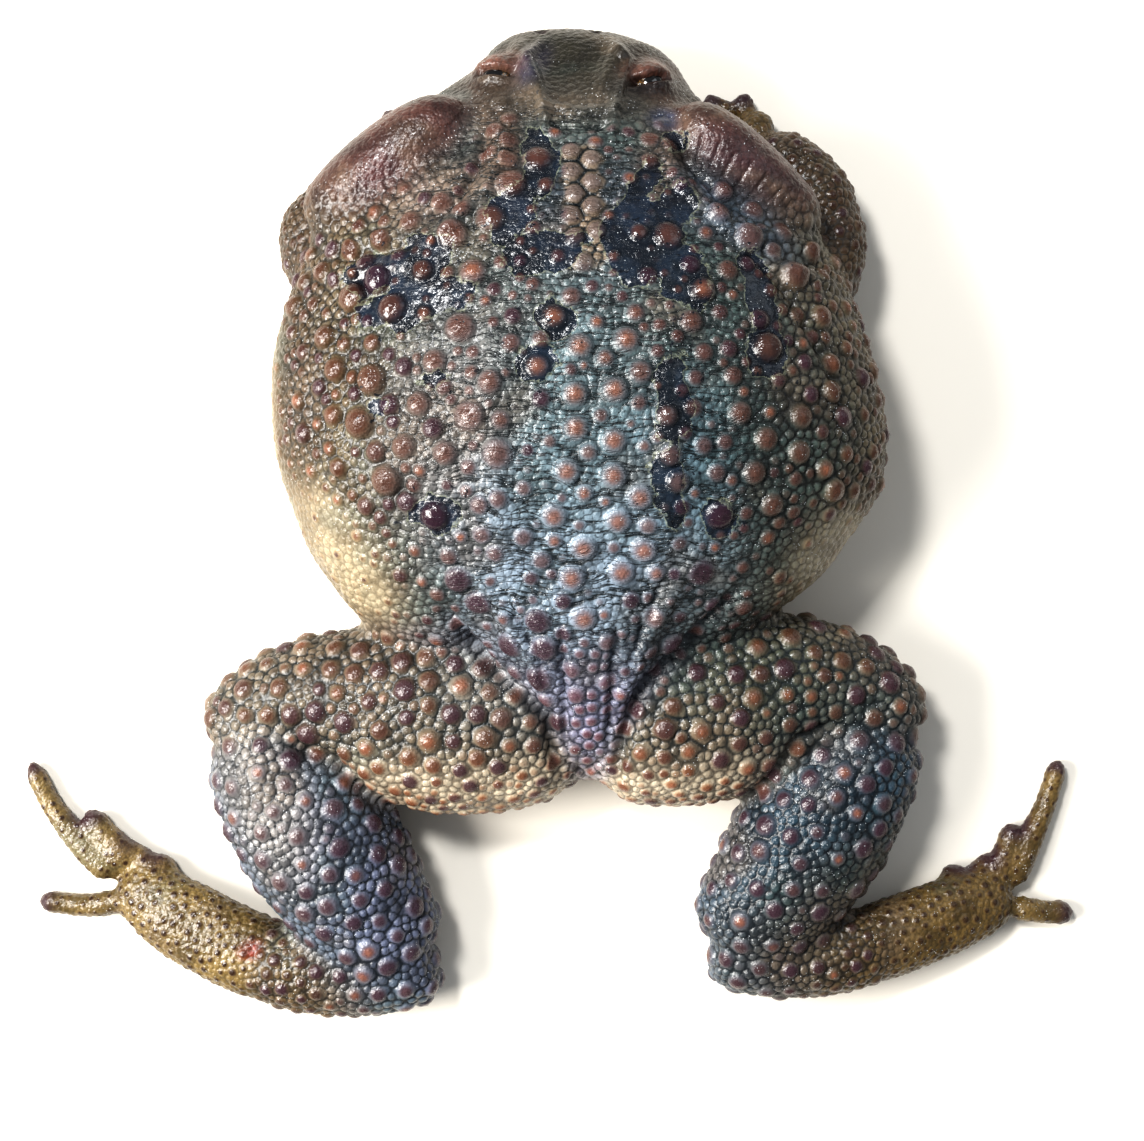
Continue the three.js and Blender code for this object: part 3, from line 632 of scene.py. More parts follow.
class Wire:
    """An output of a shader node that Python's operators work on."""

    def __init__(self, shader: "Shader", socket: bpy.types.NodeSocket) -> None:
        """Keep the output and the shader that it belongs to."""
        self.shader = shader
        self.socket = socket

    def _reckon(self, operation: str, first: "Wire | float", second: "Wire | float") -> "Wire":
        """Add the node that works out one step.

        Args:
            operation: what to do with the two values.
            first: the first value.
            second: the second value.

        Returns:
            The result.
        """
        if self.socket.type == "VECTOR":
            values = [(v, v, v) if isinstance(v, (int, float)) else v for v in (first, second)]
            return self.shader.node("ShaderNodeVectorMath", {"operation": operation},
                                    dict(enumerate(values)))
        return self.shader.node("ShaderNodeMath", {"operation": operation}, {0: first, 1: second})

    def __add__(self, other: "Wire | float") -> "Wire":
        """Add a value."""
        return self._reckon("ADD", self, other)

    def __radd__(self, other: float) -> "Wire":
        """Add to a number."""
        return self._reckon("ADD", other, self)

    def __sub__(self, other: "Wire | float") -> "Wire":
        """Take a value away."""
        return self._reckon("SUBTRACT", self, other)

    def __rsub__(self, other: float) -> "Wire":
        """Take from a number."""
        return self._reckon("SUBTRACT", other, self)

    def __mul__(self, other: "Wire | float | tuple[float, ...]") -> "Wire":
        """Multiply by a value."""
        return self._reckon("MULTIPLY", self, other)

    def __rmul__(self, other: float) -> "Wire":
        """Multiply a number."""
        return self._reckon("MULTIPLY", other, self)

    def rise(self, low: "Wire | float", high: "Wire | float") -> "Wire":
        """Rise smoothly from 0 to 1 between two values; a fall where low is the larger.

        Args:
            low: where the rise begins.
            high: where it ends.

        Returns:
            A value from 0 to 1.
        """
        return self.shader.node("ShaderNodeMapRange", {"interpolation_type": "SMOOTHSTEP"},
                                {"Value": self, "From Min": low, "From Max": high})


class Shader:
    """A material and the method that adds its nodes."""

    def __init__(self, name: str) -> None:
        """Start an empty material.

        Args:
            name: what the material is called.
        """
        self.material = bpy.data.materials.new(name)
        self.material.use_nodes = True
        self.tree = self.material.node_tree
        self.tree.nodes.clear()

    def node(self, kind: str, settings: dict | None = None, values: dict | None = None,
             out: int | str = 0) -> Wire:
        """Add one node.

        Args:
            kind: the node's type.
            settings: its settings.
            values: a number, colour or wire for each input, by name or index.
            out: the output that is wanted, by name or index.

        Returns:
            That output.
        """
        made = self.tree.nodes.new(kind)
        for name, setting in (settings or {}).items():
            setattr(made, name, setting)
        for key, value in (values or {}).items():
            if isinstance(value, Wire):
                self.tree.links.new(value.socket, made.inputs[key])
            else:
                made.inputs[key].default_value = value
        return Wire(self, made.outputs[out])

    def place(self) -> Wire:
        """Give the place on the object in millimetres."""
        return self.node("ShaderNodeTexCoord", out="Object") * (1 / MM)

    def trait(self, name: str) -> Wire:
        """Read a number that the mesh carries."""
        return self.node("ShaderNodeAttribute", {"attribute_name": name}, out="Fac")

    def tint(self, name: str) -> Wire:
        """Read a colour that the mesh carries."""
        return self.node("ShaderNodeAttribute", {"attribute_name": name}, out="Color")

    def cloud(self, place: Wire, finer: float, detail: float = 3.0, rough: float = 0.55) -> Wire:
        """Add noise.

        Args:
            place: where it is read.
            finer: how many of its blots fit in a millimetre.
            detail: how many finer layers it has.
            rough: how strong the finer layers are.

        Returns:
            A value around a half.
        """
        values = {"Vector": place, "Scale": finer, "Detail": detail, "Roughness": rough}
        return self.node("ShaderNodeTexNoise", {}, values)

    def blend(self, share: Wire | float, under: Wire | tuple, over: Wire | tuple) -> Wire:
        """Lay one colour over another.

        Args:
            share: how much of the upper one shows.
            under: the lower colour.
            over: the upper colour.

        Returns:
            The colour that shows.
        """
        settings = {"data_type": "RGBA", "clamp_factor": True}
        return self.node("ShaderNodeMix", settings, {0: share, 6: under, 7: over}, out=2)

    def finish(self, values: dict) -> bpy.types.Material:
        """End the material with its surface.

        Args:
            values: a number, colour or wire for each input of the surface.

        Returns:
            The finished material.
        """
        surface = self.node("ShaderNodeBsdfPrincipled", {}, values)
        end = self.tree.nodes.new("ShaderNodeOutputMaterial")
        self.tree.links.new(surface.socket, end.inputs["Surface"])
        return self.material


@dataclass(frozen=True)
class SkinFinish:
    """The wet warty skin: dark smooth patches, horny caps, creases and pores, with painted shade in the
    creases, wrinkles, mouth and nostrils, painted highlights on the caps, painted glints and a painted sky
    reflection in the patches.
    """

    patch: str = "0a111b"
    patch_tone_and_sky_sheen: str = "182433"
    torn_edge: str = "868a76"
    cap_dark: str = "37202a"
    cap_orange_and_highlight: str = "94624a"
    painted_glint: str = "d8dde0"
    plate: str = "85735f"
    stain_warm: str = "675848"
    stain_cool: str = "3d5450"
    claw: str = "321c26"
    wet: float = 0.2
    wet_roughness: float = 0.14

    def make(self) -> bpy.types.Material:
        """Make the material.

        Returns:
            The finished skin.
        """
        shader = Shader("toad_skin")
        place = shader.place()
        near, border, tone = shader.trait("near"), shader.trait("border"), shader.trait("tone")
        cap, grown, patch = shader.trait("cap"), shader.trait("grown"), shader.trait("patch")
        speck = shader.cloud(place, 2.6, 4, 0.6)
        blot = shader.cloud(place, 0.14, 3, 0.55)
        fine = shader.cloud(place, 1.1, 3, 0.6)
        lines = self.lines(shader, place)
        stain = shader.cloud(place, 0.06, 2, 0.5)
        ground = shader.blend(0.5 * speck.rise(0.42, 0.72), shader.tint("ground"), shader.tint("rim"))
        ground = shader.blend(0.5 * stain.rise(0.52, 0.66), ground, paint(self.stain_warm))
        ground = shader.blend(0.35 * stain.rise(0.46, 0.32), ground, paint(self.stain_cool))
        ground = shader.blend(0.6 * blot.rise(0.58, 0.34), ground, shader.tint("seam"))
        # Painted shade in the wrinkles: their lines take the dark crease colour.
        ground = shader.blend(0.9 * shader.trait("wrinkle") * lines, ground, shader.tint("seam"))
        ground = shader.blend(0.7 * shader.trait("pale"), ground, paint(self.plate))
        side = (near + 0.1 * (fine - 0.5)).rise(0.52, 0.28) * grown
        colour = shader.blend(0.85 * side, ground, shader.tint("rim"))
        edge = near + 0.16 * (fine - 0.5)
        capped = edge.rise(cap + 0.12, cap - 0.2) * grown
        tip = shader.blend(tone.rise(0.35, 0.9), shader.tint("tip"), paint(self.cap_dark))
        # Painted highlight: the caps turn paler orange towards the top of each dome, partly their own colour.
        tip = shader.blend(0.6 * tone.rise(0.34, 0.0) * edge.rise(0.4, 0.0), tip, paint(self.cap_orange_and_highlight))
        colour = shader.blend(0.92 * capped * (1 - 0.7 * shader.trait("pale")), colour, tip)
        # Painted shade: the creases between the domes are darkened, partly with their own dark colour.
        crease_tint_and_shade_strength = shader.trait("ink") + 0.4 * shader.trait("pale")
        creased = border.rise(0.72, 0.98) * (0.6 + 0.6 * blot) * crease_tint_and_shade_strength
        colour = shader.blend(creased, colour, shader.tint("seam"))
        wide = 5.0 * (shader.cloud(place, 0.2, 2, 0.5) - 0.5)
        torn = patch + wide + 2.2 * (shader.cloud(place, 0.9, 4, 0.65) - 0.5)
        inside = torn.rise(-0.05, 0.14)
        # Inside the dark patches the paler blue blots are partly their own tone and partly a painted sky
        # reflection.
        shed = shader.blend(blot.rise(0.42, 0.62), paint(self.patch), paint(self.patch_tone_and_sky_sheen))
        shed = shader.blend(0.75 * capped, shed, tip)
        colour = shader.blend(0.92 * inside, colour, shed)
        frayed = torn.rise(-0.34, -0.1) * (1 - inside) * speck.rise(0.3, 0.6)
        colour = shader.blend(0.6 * frayed, colour, paint(self.torn_edge))
        hole = shader.cloud(place, 0.75, 2, 0.5).rise(0.66, 0.7) * patch.rise(-6.0, -3.0)
        colour = shader.blend(0.9 * hole, colour, paint(self.patch))
        # Dark tips of fingers and toes; on the mouth line and the nostrils the same colour is painted shade.
        colour = shader.blend(0.9 * shader.trait("claw"), colour, paint(self.claw))
        # Painted highlights: tiny white specks stand for glints on the wet skin.
        colour = shader.blend(0.8 * self.painted_glints(shader, place), colour, paint(self.painted_glint))
        height = self.grains(shader, place, fine, lines)
        roughness = 0.36 - 0.1 * inside - 0.08 * capped + 0.2 * (speck - 0.5)
        return shader.finish({
            "Base Color": colour, "Roughness": roughness, "Normal": height,
            "Coat Weight": self.wet * fine.rise(0.25, 0.6), "Coat Roughness": self.wet_roughness,
            "Specular IOR Level": 0.5,
        })

    @staticmethod
    def painted_glints(shader: Shader, place: Wire) -> Wire:
        """Scatter tiny painted highlights, white specks that stand for glints on the wet skin.

        Args:
            shader: the material's nodes.
            place: the place in millimetres.

        Returns:
            1 on a painted glint and 0 beside it.
        """
        bits = shader.node("ShaderNodeTexVoronoi", {"feature": "F1"}, {"Vector": place, "Scale": 1.5})
        crowd = shader.cloud(place, 0.16, 2, 0.5) + 0.35 * (shader.cloud(place, 2.0, 1, 0.5) - 0.5)
        return bits.rise(0.17, 0.11) * crowd.rise(0.52, 0.6)

    @staticmethod
    def lines(shader: Shader, place: Wire) -> Wire:
        """Draw the fine wrinkles that run across the back.

        Args:
            shader: the material's nodes.
            place: the place in millimetres.

        Returns:
            1 in a wrinkle and 0 between them.
        """
        bent = place + 5.0 * shader.cloud(place, 0.09, 2, 0.5)
        wave = shader.cloud(bent * (0.055, 0.6, 0.3), 1.0, 3, 0.62) - 0.5
        return shader.node("ShaderNodeMath", {"operation": "ABSOLUTE"}, {0: wave}).rise(0.04, 0.008)

    @staticmethod
    def grains(shader: Shader, place: Wire, fine: Wire, lines: Wire) -> Wire:
        """Raise the finest grain of the skin.

        Args:
            shader: the material's nodes.
            place: the place in millimetres.
            fine: the noise that the colours use.
            lines: where the wrinkles of the back lie.

        Returns:
            The direction that the surface faces.
        """
        cells = shader.node("ShaderNodeTexVoronoi", {"feature": "F1"}, {"Vector": place, "Scale": 1.7})
        height = 0.5 * (fine - cells) * (1 - 0.4 * shader.trait("bare"))
        height = height - 1.1 * shader.trait("wrinkle") * lines
        return shader.node("ShaderNodeBump", {}, {"Strength": 0.7, "Distance": 0.3 * MM, "Height": height})


@dataclass(frozen=True)
class EyeFinish:
    """A wet eye with a gold brown iris darkened by painted shade of the lids, and a wide dark pupil."""

    shaded_iris: str = "2a1f12"
    fleck: str = "7c5a28"
    pupil: str = "060505"
    ring: float = 0.62

    def make(self, name: str) -> bpy.types.Material:
        """Make the material of one eye.

        Args:
            name: what the eye is called.

        Returns:
            The finished eye.
        """
        shader = Shader(name + "_gloss")
        out = shader.trait("out")
        flat = shader.trait("flat")
        net = shader.cloud(shader.place(), 3.0, 4, 0.7)
        # The iris is darkened, partly painted shade of the closed lids.
        colour = shader.blend(net.rise(0.48, 0.6), paint(self.shaded_iris), paint(self.fleck))
        colour = shader.blend(flat.rise(1.05, 0.95), colour, paint(self.pupil))
        colour = shader.blend(out.rise(self.ring, self.ring - 0.06), colour, paint(self.pupil))
        return shader.finish({"Base Color": colour, "Roughness": 0.08 + 0.1 * net, "Coat Weight": 1.0,
                              "Coat Roughness": 0.02, "Specular IOR Level": 0.6})


@dataclass(frozen=True)
class FloorFinish:
    """Pale matt board under the model."""

    colour: str = "e9e4da"
    cloud: str = "c9c2b4"

    def make(self) -> bpy.types.Material:
        """Make the material.

        Returns:
            The finished floor.
        """
        shader = Shader("studio_floor")
        cloud = shader.cloud(shader.place(), 0.02, 3, 0.5)
        colour = shader.blend(0.05 * cloud, paint(self.colour), paint(self.cloud))
        return shader.finish({"Base Color": colour, "Roughness": 0.85})


@dataclass
class Skin:
    """The whole skin in one closed surface. Lengths are in millimetres."""

    voxel: float = 0.8
    overlap: float = 0.35
    mouth_depth: float = 0.9
    mouth_half: float = 0.5
    mouth_height: float = 11.5  # at the tip of the snout
    mouth_slope: float = 0.09
    snout: float = 74.4
    nostrils: tuple = ((-9.4, 71.4, 20.5), (1.4, 71.4, 20.5))
    toe_plump: float = 0.35
    tip_plump: float = 0.55
    slit_half: float = 0.95
    slit_depth: float = 2.3
    axes: dict[str, tuple] = field(default_factory=lambda: {
        "eye_left": ((-0.42, 0.28, 0.86), (1, -0.12, 0)),
        "eye_right": ((0.42, 0.28, 0.86), (1, 0.28, 0)),
    })

    def gather(self) -> tuple[np.ndarray, np.ndarray, np.ndarray]:
        """Join the solids of the body into one set of faces.

        Returns:
            Corners, triangles and the zone of each triangle.
        """
        points, triangles, zones = [], [], []
        count = 0
        for name, node in sorted(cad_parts.items()):
            corners, faces = weld(node.data)
            points.append(swell(corners, faces, self.overlap))
            triangles.append(faces + count)
            count += len(corners)
            kind = next((zone for part, zone in PART_ZONES.items() if name.startswith(part)), Zone.HEAD)
            zones.append(np.full(len(faces), ZONES.index(kind)))
        return np.concatenate(points), np.concatenate(triangles), np.concatenate(zones)

    def remesh(self, points: np.ndarray, triangles: np.ndarray) -> Sheet:
        """Grow one even surface round the joined solids.

        Args:
            points: corners of the solids.
            triangles: their faces.

        Returns:
            The outer surface.
        """
        mesh = bpy.data.meshes.new("joined")
        mesh.from_pydata(points.tolist(), [], triangles.tolist())
        holder = put("joined", mesh)
        grown = holder.modifiers.new("grow", "REMESH")
        grown.mode = "VOXEL"
        grown.voxel_size = self.voxel
        made = self.apply(holder)
        bpy.data.objects.remove(holder)
        return Sheet.of(made)

    @staticmethod
    def apply(holder: bpy.types.Object) -> bpy.types.Mesh:
        """Give the mesh that an object's modifiers make."""
        graph = bpy.context.evaluated_depsgraph_get()
        return bpy.data.meshes.new_from_object(holder.evaluated_get(graph))

    def weigh(self, sheet: Sheet, points: np.ndarray, triangles: np.ndarray,
              zones: np.ndarray) -> np.ndarray:
        """Say how much each point belongs to each zone.

        Args:
            sheet: the surface.
            points: corners of the solids.
            triangles: their faces.
            zones: the zone of each face.

        Returns:
            One row for each point and one column for each zone.
        """
        tree = BVHTree.FromPolygons(points.tolist(), triangles.tolist())
        nearest = np.array([tree.find_nearest(place)[2] for place in sheet.points])
        weights = np.eye(len(ZONES))[zones[nearest]]
        x, y, z = sheet.points.T
        middle = np.interp(y, (-40, 0, 40), (1.0, -1.5, -3.0))
        aside = np.abs(x - middle)
        # What each zone hands over to another, in this order.
        moves = (
            (Zone.HEAD, Zone.BACK, ease(y, 57, 49) * ease(z, 24, 30)),
            (Zone.RUMP, Zone.BACK, ease(y, -62, -42)),
            (Zone.BACK, Zone.BELLY, ease(z, 17, 9)),
            (Zone.BACK, Zone.FLANK, ease(aside, 20, 44)),
            (Zone.RUMP, Zone.BELLY, ease(z, 17, 9)),
            (Zone.GLAND, Zone.FLANK, 0.8 * ease(y, 39, 31)),
            *((Zone.FLANK, Zone.BELLY, ease(lobe.depth(x, y), -0.45, 0.25)) for lobe in LOBES),
            *((Zone.ANKLE, Zone.SHANK, ease(np.hypot(x - a, y - b), 30, 10)) for a, b in HEELS),
            (Zone.THIGH, Zone.HAM, np.maximum(ease(y, -70, -80) * ease(np.abs(x), 60, 45), ease(z, 7, 3))),
        )
        for source, target, share in moves:
            moved = weights[:, ZONES.index(source)] * share
            weights[:, ZONES.index(source)] -= moved
            weights[:, ZONES.index(target)] += moved
        trunk = sum(weights[:, ZONES.index(zone)] for zone in (Zone.HEAD, Zone.BACK, Zone.FLANK, Zone.RUMP))
        return sheet.soften(sheet.soften(weights, 10), 26 * trunk)

    def smooth(self, sheet: Sheet, weights: np.ndarray) -> None:
        """Take the facets off the plain forms, keep their size and round the tips of the toes.

        Args:
            sheet: the surface, whose points are moved.
            weights: how much each point belongs to each zone.
        """
        rounds = self.blended(weights, "rounds")
        plain = sheet.points
        sheet.points = sheet.soften(plain, rounds)
        out = sheet.normals()
        lost = sheet.soften(((plain - sheet.points) * out).sum(1), 30)
        plump = self.toe_plump * weights[:, ZONES.index(Zone.TOE)] + self.tip_plump * self.claws(sheet.points)
        sheet.points = sheet.points + (lost + sheet.soften(plump, 4) - self.overlap)[:, None] * out

    def refine(self, sheet: Sheet, weights: np.ndarray) -> tuple[Sheet, np.ndarray, np.ndarray]:
        """Split each face in four.

        Args:
            sheet: the smoothed surface.
            weights: how much each point belongs to each zone.

        Returns:
            The finer surface, its weights, and the coarse point beside each of its points.
        """
        mesh = sheet.to_mesh("smooth", 1.0)
        for zone, column in zip(ZONES, weights.T):
            carry(mesh, zone.value, column)
        holder = put("smooth", mesh)
        holder.modifiers.new("split", "SUBSURF").levels = 1
        made = self.apply(holder)
        bpy.data.objects.remove(holder)
        finer = Sheet.of(made)
        columns = np.empty((len(ZONES), len(finer.points)))
        for zone, column in zip(ZONES, columns):
            made.attributes[zone.value].data.foreach_get("value", column)
        parent = np.concatenate((np.arange(len(sheet.points)), sheet.edges[:, 0], sheet.faces[:, 0]))
        return finer, columns.T, parent

    def sow(self, coarse: Sheet, weights: np.ndarray) -> Sowing:
        """Set the listed large warts and the rest by chance.

        Args:
            coarse: the smoothed surface.
            weights: how much each of its points belongs to each zone.

        Returns:
            The domes.
        """
        up = coarse.normals()[:, 2] > 0.3
        first = []
        plates = (Wart(x, y, PLATES.spacing, 0.5) for x, y in PLATES.places())
        for wart in (*WARTS, *plates):
            away = np.hypot(coarse.points[:, 0] - wart.x, coarse.points[:, 1] - wart.y)
            first.append((int(np.argmin(np.where(up, away, np.inf))), wart.size, wart.tone))
        sowing = Sowing()
        look = {name: self.blended(weights, name) for name in ("grain", "uneven", "wart", "apart")}
        sowing.sow(coarse.points, look, first)
        return sowing

    @staticmethod
    def blended(weights: np.ndarray, name: str) -> np.ndarray:
        """Blend one number of the hides by how much each point belongs to them."""
        return weights @ np.array([getattr(HIDES[zone], name) for zone in ZONES], float)

    def raise_relief(self, sheet: Sheet, weights: np.ndarray, sowing: Sowing,
                     cells: tuple[np.ndarray, np.ndarray, np.ndarray]) -> dict[str, np.ndarray]:
        """Raise domes, creases, folds and the slits of the eyes.

        Args:
            sheet: the finer surface, whose points are moved.
            weights: how much each point belongs to each zone.
            sowing: the domes.
            cells: which dome each point belongs to and how far it is from it.

        Returns:
            What the finish reads from the mesh, by name.
        """
        out = sheet.normals()
        near, following, cell = cells
        border = 2 * near / (near + following)
        look = {name: self.blended(weights, name) for name in ("grain", "rise", "seam_depth", "cap", "ink")}
        patch = self.patches(sheet.points, out)
        bare = ease(patch, -0.5, 1.5)
        size = sowing.sizes[cell]
        large = np.clip(size / look["grain"], 0.6, 4.0)
        dome = np.sqrt(np.clip(1 - (near / 0.44) ** 2, 0, 1)) * ease(border, 1.0, 0.8)
        crease = ease(border, 0.7, 1.0)
        tall = look["rise"] * large ** 1.5 * np.where(large > 1.5, 1.0, 1 - 0.75 * bare)
        height = tall * dome - look["seam_depth"] * crease * (1 - 0.85 * bare)
        height += 0.15 * tall * ease(near, 0.16, 0.0) * (large > 1.6)
        for fold in FOLDS:
            away, along = near_path(sheet.points, fold.path)
            taper = ease(along, 0, 0.2) * ease(along, 1, 0.8)
            height += fold.rise * taper * np.exp(-(away / fold.half_width) ** 2) * ease(out[:, 2], 0.1, 0.5)
        tone = 0.35 + (sowing.tones[cell] - 0.35) * ease(size, 1.8, 3.0)
        mouth = self.mouth(sheet.points, weights)
        sheet.points = sheet.points + (height - self.mouth_depth * mouth)[:, None] * out
        self.open_eyes(sheet)
        sheet.points[:, 2] = np.maximum(sheet.points[:, 2], 0)
        wrinkle = weights[:, ZONES.index(Zone.BACK)] + 0.4 * weights[:, ZONES.index(Zone.RUMP)]
        cap = look["cap"] * (0.8 + 0.4 * tone)
        adult = self.blended(weights, "adult")
        nape = self.tiled(sheet.points)
        grown = ease(size / adult, 0.8, 1.15) * (1 - 0.4 * nape)
        # The dark colour of the tips of fingers and toes is also laid on the mouth line and nostrils as
        # painted shade.
        return {"near": near, "border": border, "tone": tone, "cap": cap, "ink": look["ink"],
                "bare": bare, "patch": patch, "wrinkle": wrinkle * (1 - 0.8 * bare), "grown": grown,
                "pale": nape, "claw": np.maximum(self.claws(sheet.points), 0.8 * mouth)}

    @staticmethod
    def stain_and_shade(colours: np.ndarray, points: np.ndarray, cover: np.ndarray) -> None:
        """Lay the broad stains, painted shade and painted sky reflection over the colours of the skin.

        Args:
            colours: one row for each point; changed here.
            points: the points of the skin.
            cover: how strongly each of them takes the stains and the painted light.
        """
        for stain_and_shade in STAINS_AND_SHADE:
            share = cover * stain_and_shade.strength * ease(stain_and_shade.oval.depth(points[:, 0], points[:, 1]), -0.55, 0.65)
            colours += share[:, None] * (np.array(paint(stain_and_shade.colour)) - colours)

    def mouth(self, points: np.ndarray, weights: np.ndarray) -> np.ndarray:
        """Say how near each point is to the line of the closed mouth or to a nostril.

        Args:
            points: the points of the skin.
            weights: how much each of them belongs to each zone.

        Returns:
            1 in the line and 0 away from it.
        """
        y, z = points[:, 1], points[:, 2]
        height = self.mouth_height + self.mouth_slope * (self.snout - y)
        line = np.exp(-((z - height) / self.mouth_half) ** 2) * ease(y, 45, 51)
        for nostril in self.nostrils:
            line = np.maximum(line, ease(np.linalg.norm(points - np.array(nostril), axis=1), 2.0, 0.9))
        head = weights[:, ZONES.index(Zone.HEAD)] + weights[:, ZONES.index(Zone.BELLY)]
        return line * ease(head, 0.3, 0.7)

    @staticmethod
    def tiled(points: np.ndarray) -> np.ndarray:
        """Say how much each point lies on the pale strip of the nape.

        Args:
            points: the points of the skin.

        Returns:
            1 on the strip and 0 beside it.
        """
        away, along = near_path(points, NAPE)
        away = away + 0.8 * np.sin(1.3 * points[:, 1]) * np.sin(0.7 * points[:, 0])
        ends = ease(along, 0, 0.06) * ease(along, 1, 0.9)
        return ease(away, 4.2, 2.8) * ends * ease(points[:, 2], 25, 30)

    @staticmethod
    def claws(points: np.ndarray) -> np.ndarray:
        """Say how near each point is to the tip of a finger or toe, from 0 to 1."""
        tips = np.zeros(len(points))
        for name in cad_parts:
            if not name.startswith(("toe", "finger")):
                continue
            side = name.split("_")[-1]
            root = "foot_" if name.startswith("toe") else "hand_"
            low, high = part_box(root + side)
            corners = weld(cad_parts[name].data)[0]
            middle = np.array((low + high) / 2) / MM
            tip = corners[np.argmax(np.linalg.norm(corners - middle, axis=1))]
            tips = np.maximum(tips, ease(np.linalg.norm(points - tip, axis=1), 5.4, 2.4))
        return tips

    @staticmethod
    def patches(points: np.ndarray, out: np.ndarray) -> np.ndarray:
        """Measure how deep inside a dark patch each point is.

        Args:
            points: the points of the skin.
            out: the direction that the skin faces there.

        Returns:
            The depth in millimetres, under 0 outside.
        """
        deepest = np.full(len(points), -FAR)
        for patch in PATCHES:
            inside = patch.depth(points[:, 0], points[:, 1]) * min(patch.long, patch.short)
            deepest = np.maximum(deepest, np.where(out[:, 2] > 0.2, inside, -FAR))
        return deepest

    def open_eyes(self, sheet: Sheet) -> None:
        """Press a slit into the lids of each eye, so that the eye shows.

        Args:
            sheet: the surface, whose points are moved.
        """
        for name, (axis, along) in self.axes.items():
            low, high = (np.array(corner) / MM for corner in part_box(name))
            centre, radius = (low + high) / 2, (high - low).mean() / 2
            axis = np.array(axis) / np.linalg.norm(axis)
            along = np.array(along) / np.linalg.norm(along)
            offset = sheet.points - centre
            reach = np.linalg.norm(offset, axis=1)
            across = np.cross(axis, along)
            across /= np.linalg.norm(across)
            side, travel = offset @ across, offset @ along
            open_here = np.exp(-(side / self.slit_half) ** 4) * ease(np.abs(travel), 5.4, 3.2)
            open_here *= ease(offset @ axis, 0.5, 2.0) * ease(reach, radius + 5, radius + 3.5)
            inward = -offset / np.maximum(reach, 1e-6)[:, None]
            sheet.points = sheet.points + (self.slit_depth * open_here)[:, None] * inward

    def build(self) -> bpy.types.Object:
        """Build the skin and dress it.

        Returns:
            The finished piece.
        """
        points, triangles, zones = self.gather()
        coarse = self.remesh(points, triangles)
        LOG.info("remeshed: %d points", len(coarse.points))
        weights = self.weigh(coarse, points, triangles, zones)
        self.smooth(coarse, weights)
        sowing = self.sow(coarse, weights)
        LOG.info("sown: %d domes", len(sowing.places))
        sheet, weights, parent = self.refine(coarse, weights)
        cells = sowing.cells(coarse.points, sheet.points, parent)
        LOG.info("refined: %d points", len(sheet.points))
        traits = self.raise_relief(sheet, weights, sowing, cells)
        mesh = sheet.to_mesh("toad_skin", MM)
        for name, values in traits.items():
            carry(mesh, name, values)
        # The stains, painted shade and painted sky reflection go on the upward-facing skin: fully on the
        # ground, less on the dome sides and little on the caps.
        upward = ease(sheet.soften(sheet.normals()[:, 2], 8), 0.05, 0.45)
        for name in ("ground", "seam", "rim", "tip"):
            palette = np.array([paint(getattr(HIDES[zone], name)) for zone in ZONES])
            colours = weights @ palette
            cover = {"ground": 1.0, "rim": 0.6, "tip": 0.15}.get(name, 0.0)
            self.stain_and_shade(colours, sheet.points, cover * upward)
            colours[:, 3] = 1
            mesh.attributes.new(name, "FLOAT_COLOR", "POINT").data.foreach_set("color", colours.ravel())
        mesh.materials.append(SkinFinish().make())
        piece = put("toad_skin", mesh)
        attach(piece, "root")
        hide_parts(*(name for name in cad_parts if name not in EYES))
        return piece


@dataclass
class Eye:
    """An eyeball with a swollen clear front."""

    name: str
    axis: tuple[float, float, float]
    rings: int = 32
    sides: int = 48
    bulge: float = 0.08
    pupil: tuple[float, float] = (0.42, 0.2)

    def build(self) -> bpy.types.Object:
        """Build the eye in its socket and dress it.

        Returns:
            The finished piece.
        """
        low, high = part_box(self.name)
        centre, radius = (low + high) / 2, (high - low).length / 2 / math.sqrt(3)
        front = Vector(self.axis).normalized()
        right = Vector((1, 0, 0)) - front * front.x
        right.normalize()
        upward = front.cross(right)
        points, out, flat, faces = [], [], [], []
        for ring in range(self.rings + 1):
            polar = math.pi * ring / self.rings
            for side in range(self.sides):
                around = 2 * math.pi * side / self.sides
                sine, cosine = math.sin(polar), math.cos(polar)
                reach = radius * (1 - self.bulge + self.bulge * max(0.0, cosine) ** 2)
                x, y = sine * math.cos(around), sine * math.sin(around)
                points.append(centre + reach * (right * x + upward * y + front * cosine))
                ahead = polar < math.pi / 2
                out.append(sine if ahead else 1.0)
                flat.append(math.hypot(x / self.pupil[0], y / self.pupil[1]) if ahead else FAR)
        for ring in range(self.rings):
            for side in range(self.sides):
                step = (side + 1) % self.sides
                a, b = ring * self.sides, (ring + 1) * self.sides
                faces.append((a + side, b + side, b + step, a + step))
        mesh = bpy.data.meshes.new(self.name + "_ball")
        mesh.from_pydata(points, [], faces)
        mesh.shade_smooth()
        carry(mesh, "out", out)
        carry(mesh, "flat", flat)
        mesh.materials.append(EyeFinish().make(self.name))
        piece = put(self.name + "_ball", mesh)
        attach(piece, "root")
        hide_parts(self.name)
        return piece


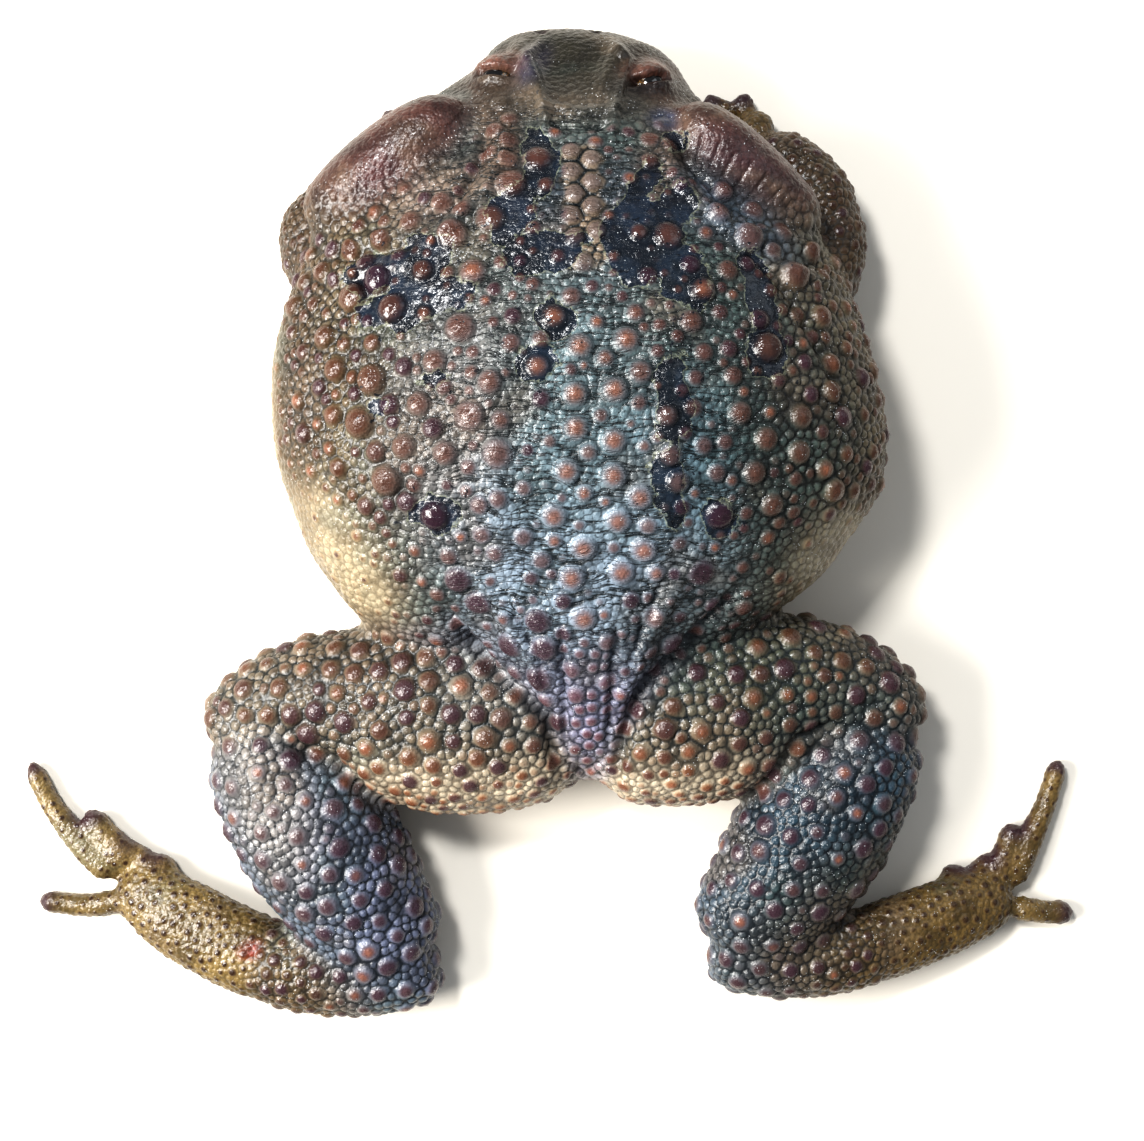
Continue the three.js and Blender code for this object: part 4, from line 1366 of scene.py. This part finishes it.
@dataclass
class Studio:
    """The floor, the lights and the camera. Lengths are in metres."""

    floor_half: float = 1.5
    floor_gap: float = 0.00005
    lens: float = 59.25
    nearest: float = 0.01
    camera_place: tuple[float, float, float] = (-0.0034, -0.0362, 0.400)
    aim: tuple[float, float, float] = (0, -0.02, 0.02)
    room: tuple[float, float, float, float] = (0.9, 0.94, 1.0, 1)
    room_strength: float = 0.3

    def lay_floor(self) -> bpy.types.Object:
        """Lay the floor under the model.

        Returns:
            The floor.
        """
        half = self.floor_half
        corners = ((-half, -half), (half, -half), (half, half), (-half, half))
        mesh = bpy.data.meshes.new("floor")
        mesh.from_pydata([(x, y, -self.floor_gap) for x, y in corners], [], [(0, 1, 2, 3)])
        mesh.materials.append(FloorFinish().make())
        floor = put("floor", mesh)
        return floor

    def hang_light(self, name: str, place: tuple[float, float, float], size: float, power: float,
                   colour: tuple[float, float, float]) -> None:
        """Hang one square light that looks at the model.

        Args:
            name: what the light is called.
            place: where it hangs.
            size: its width.
            power: its power in watts.
            colour: its colour.
        """
        light = bpy.data.lights.new(name, "AREA")
        light.size, light.energy, light.color = size, power, colour
        lamp = put(name, light)
        lamp.location = place
        lamp.rotation_euler = (Vector(self.aim) - Vector(place)).to_track_quat("-Z", "Y").to_euler()

    def set_lights(self) -> None:
        """Hang a soft light, a weaker one across from it and a small one above, in a pale room."""
        self.hang_light("window", (-0.6, -0.12, 0.5), 0.36, 9.5, (1.0, 0.97, 0.93))
        self.hang_light("across", (0.6, 0.45, 0.7), 0.5, 1.0, (0.9, 0.95, 1.0))
        self.hang_light("above", (-0.28, 0.3, 0.75), 0.14, 4.8, (1.0, 1.0, 1.0))
        world = bpy.data.worlds.new("room")
        world.use_nodes = True
        inputs = world.node_tree.nodes["Background"].inputs
        inputs["Color"].default_value = self.room
        inputs["Strength"].default_value = self.room_strength
        scene = bpy.context.scene
        scene.world = world
        scene.view_settings.view_transform = "Standard"
        scene.view_settings.look = "High Contrast"

    def set_camera(self) -> None:
        """Hang the camera straight above the model."""
        camera = bpy.data.cameras.new("camera")
        camera.sensor_width = 36
        camera.lens = self.lens
        camera.clip_start = self.nearest
        holder = put("camera", camera)
        holder.location = self.camera_place
        bpy.context.scene.camera = holder


def main() -> None:
    """Build the toad and its studio in order."""
    logging.basicConfig(level=logging.INFO, format="%(name)s: %(message)s")
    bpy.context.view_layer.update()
    skin = Skin()
    piece = skin.build()
    LOG.info("%s: %d points", piece.name, len(piece.data.vertices))
    for name, (axis, _) in skin.axes.items():
        LOG.info("%s", Eye(name, axis).build().name)
    studio = Studio()
    LOG.info("%s", studio.lay_floor().name)
    studio.set_lights()
    studio.set_camera()


if __name__ == "__main__":
    main()
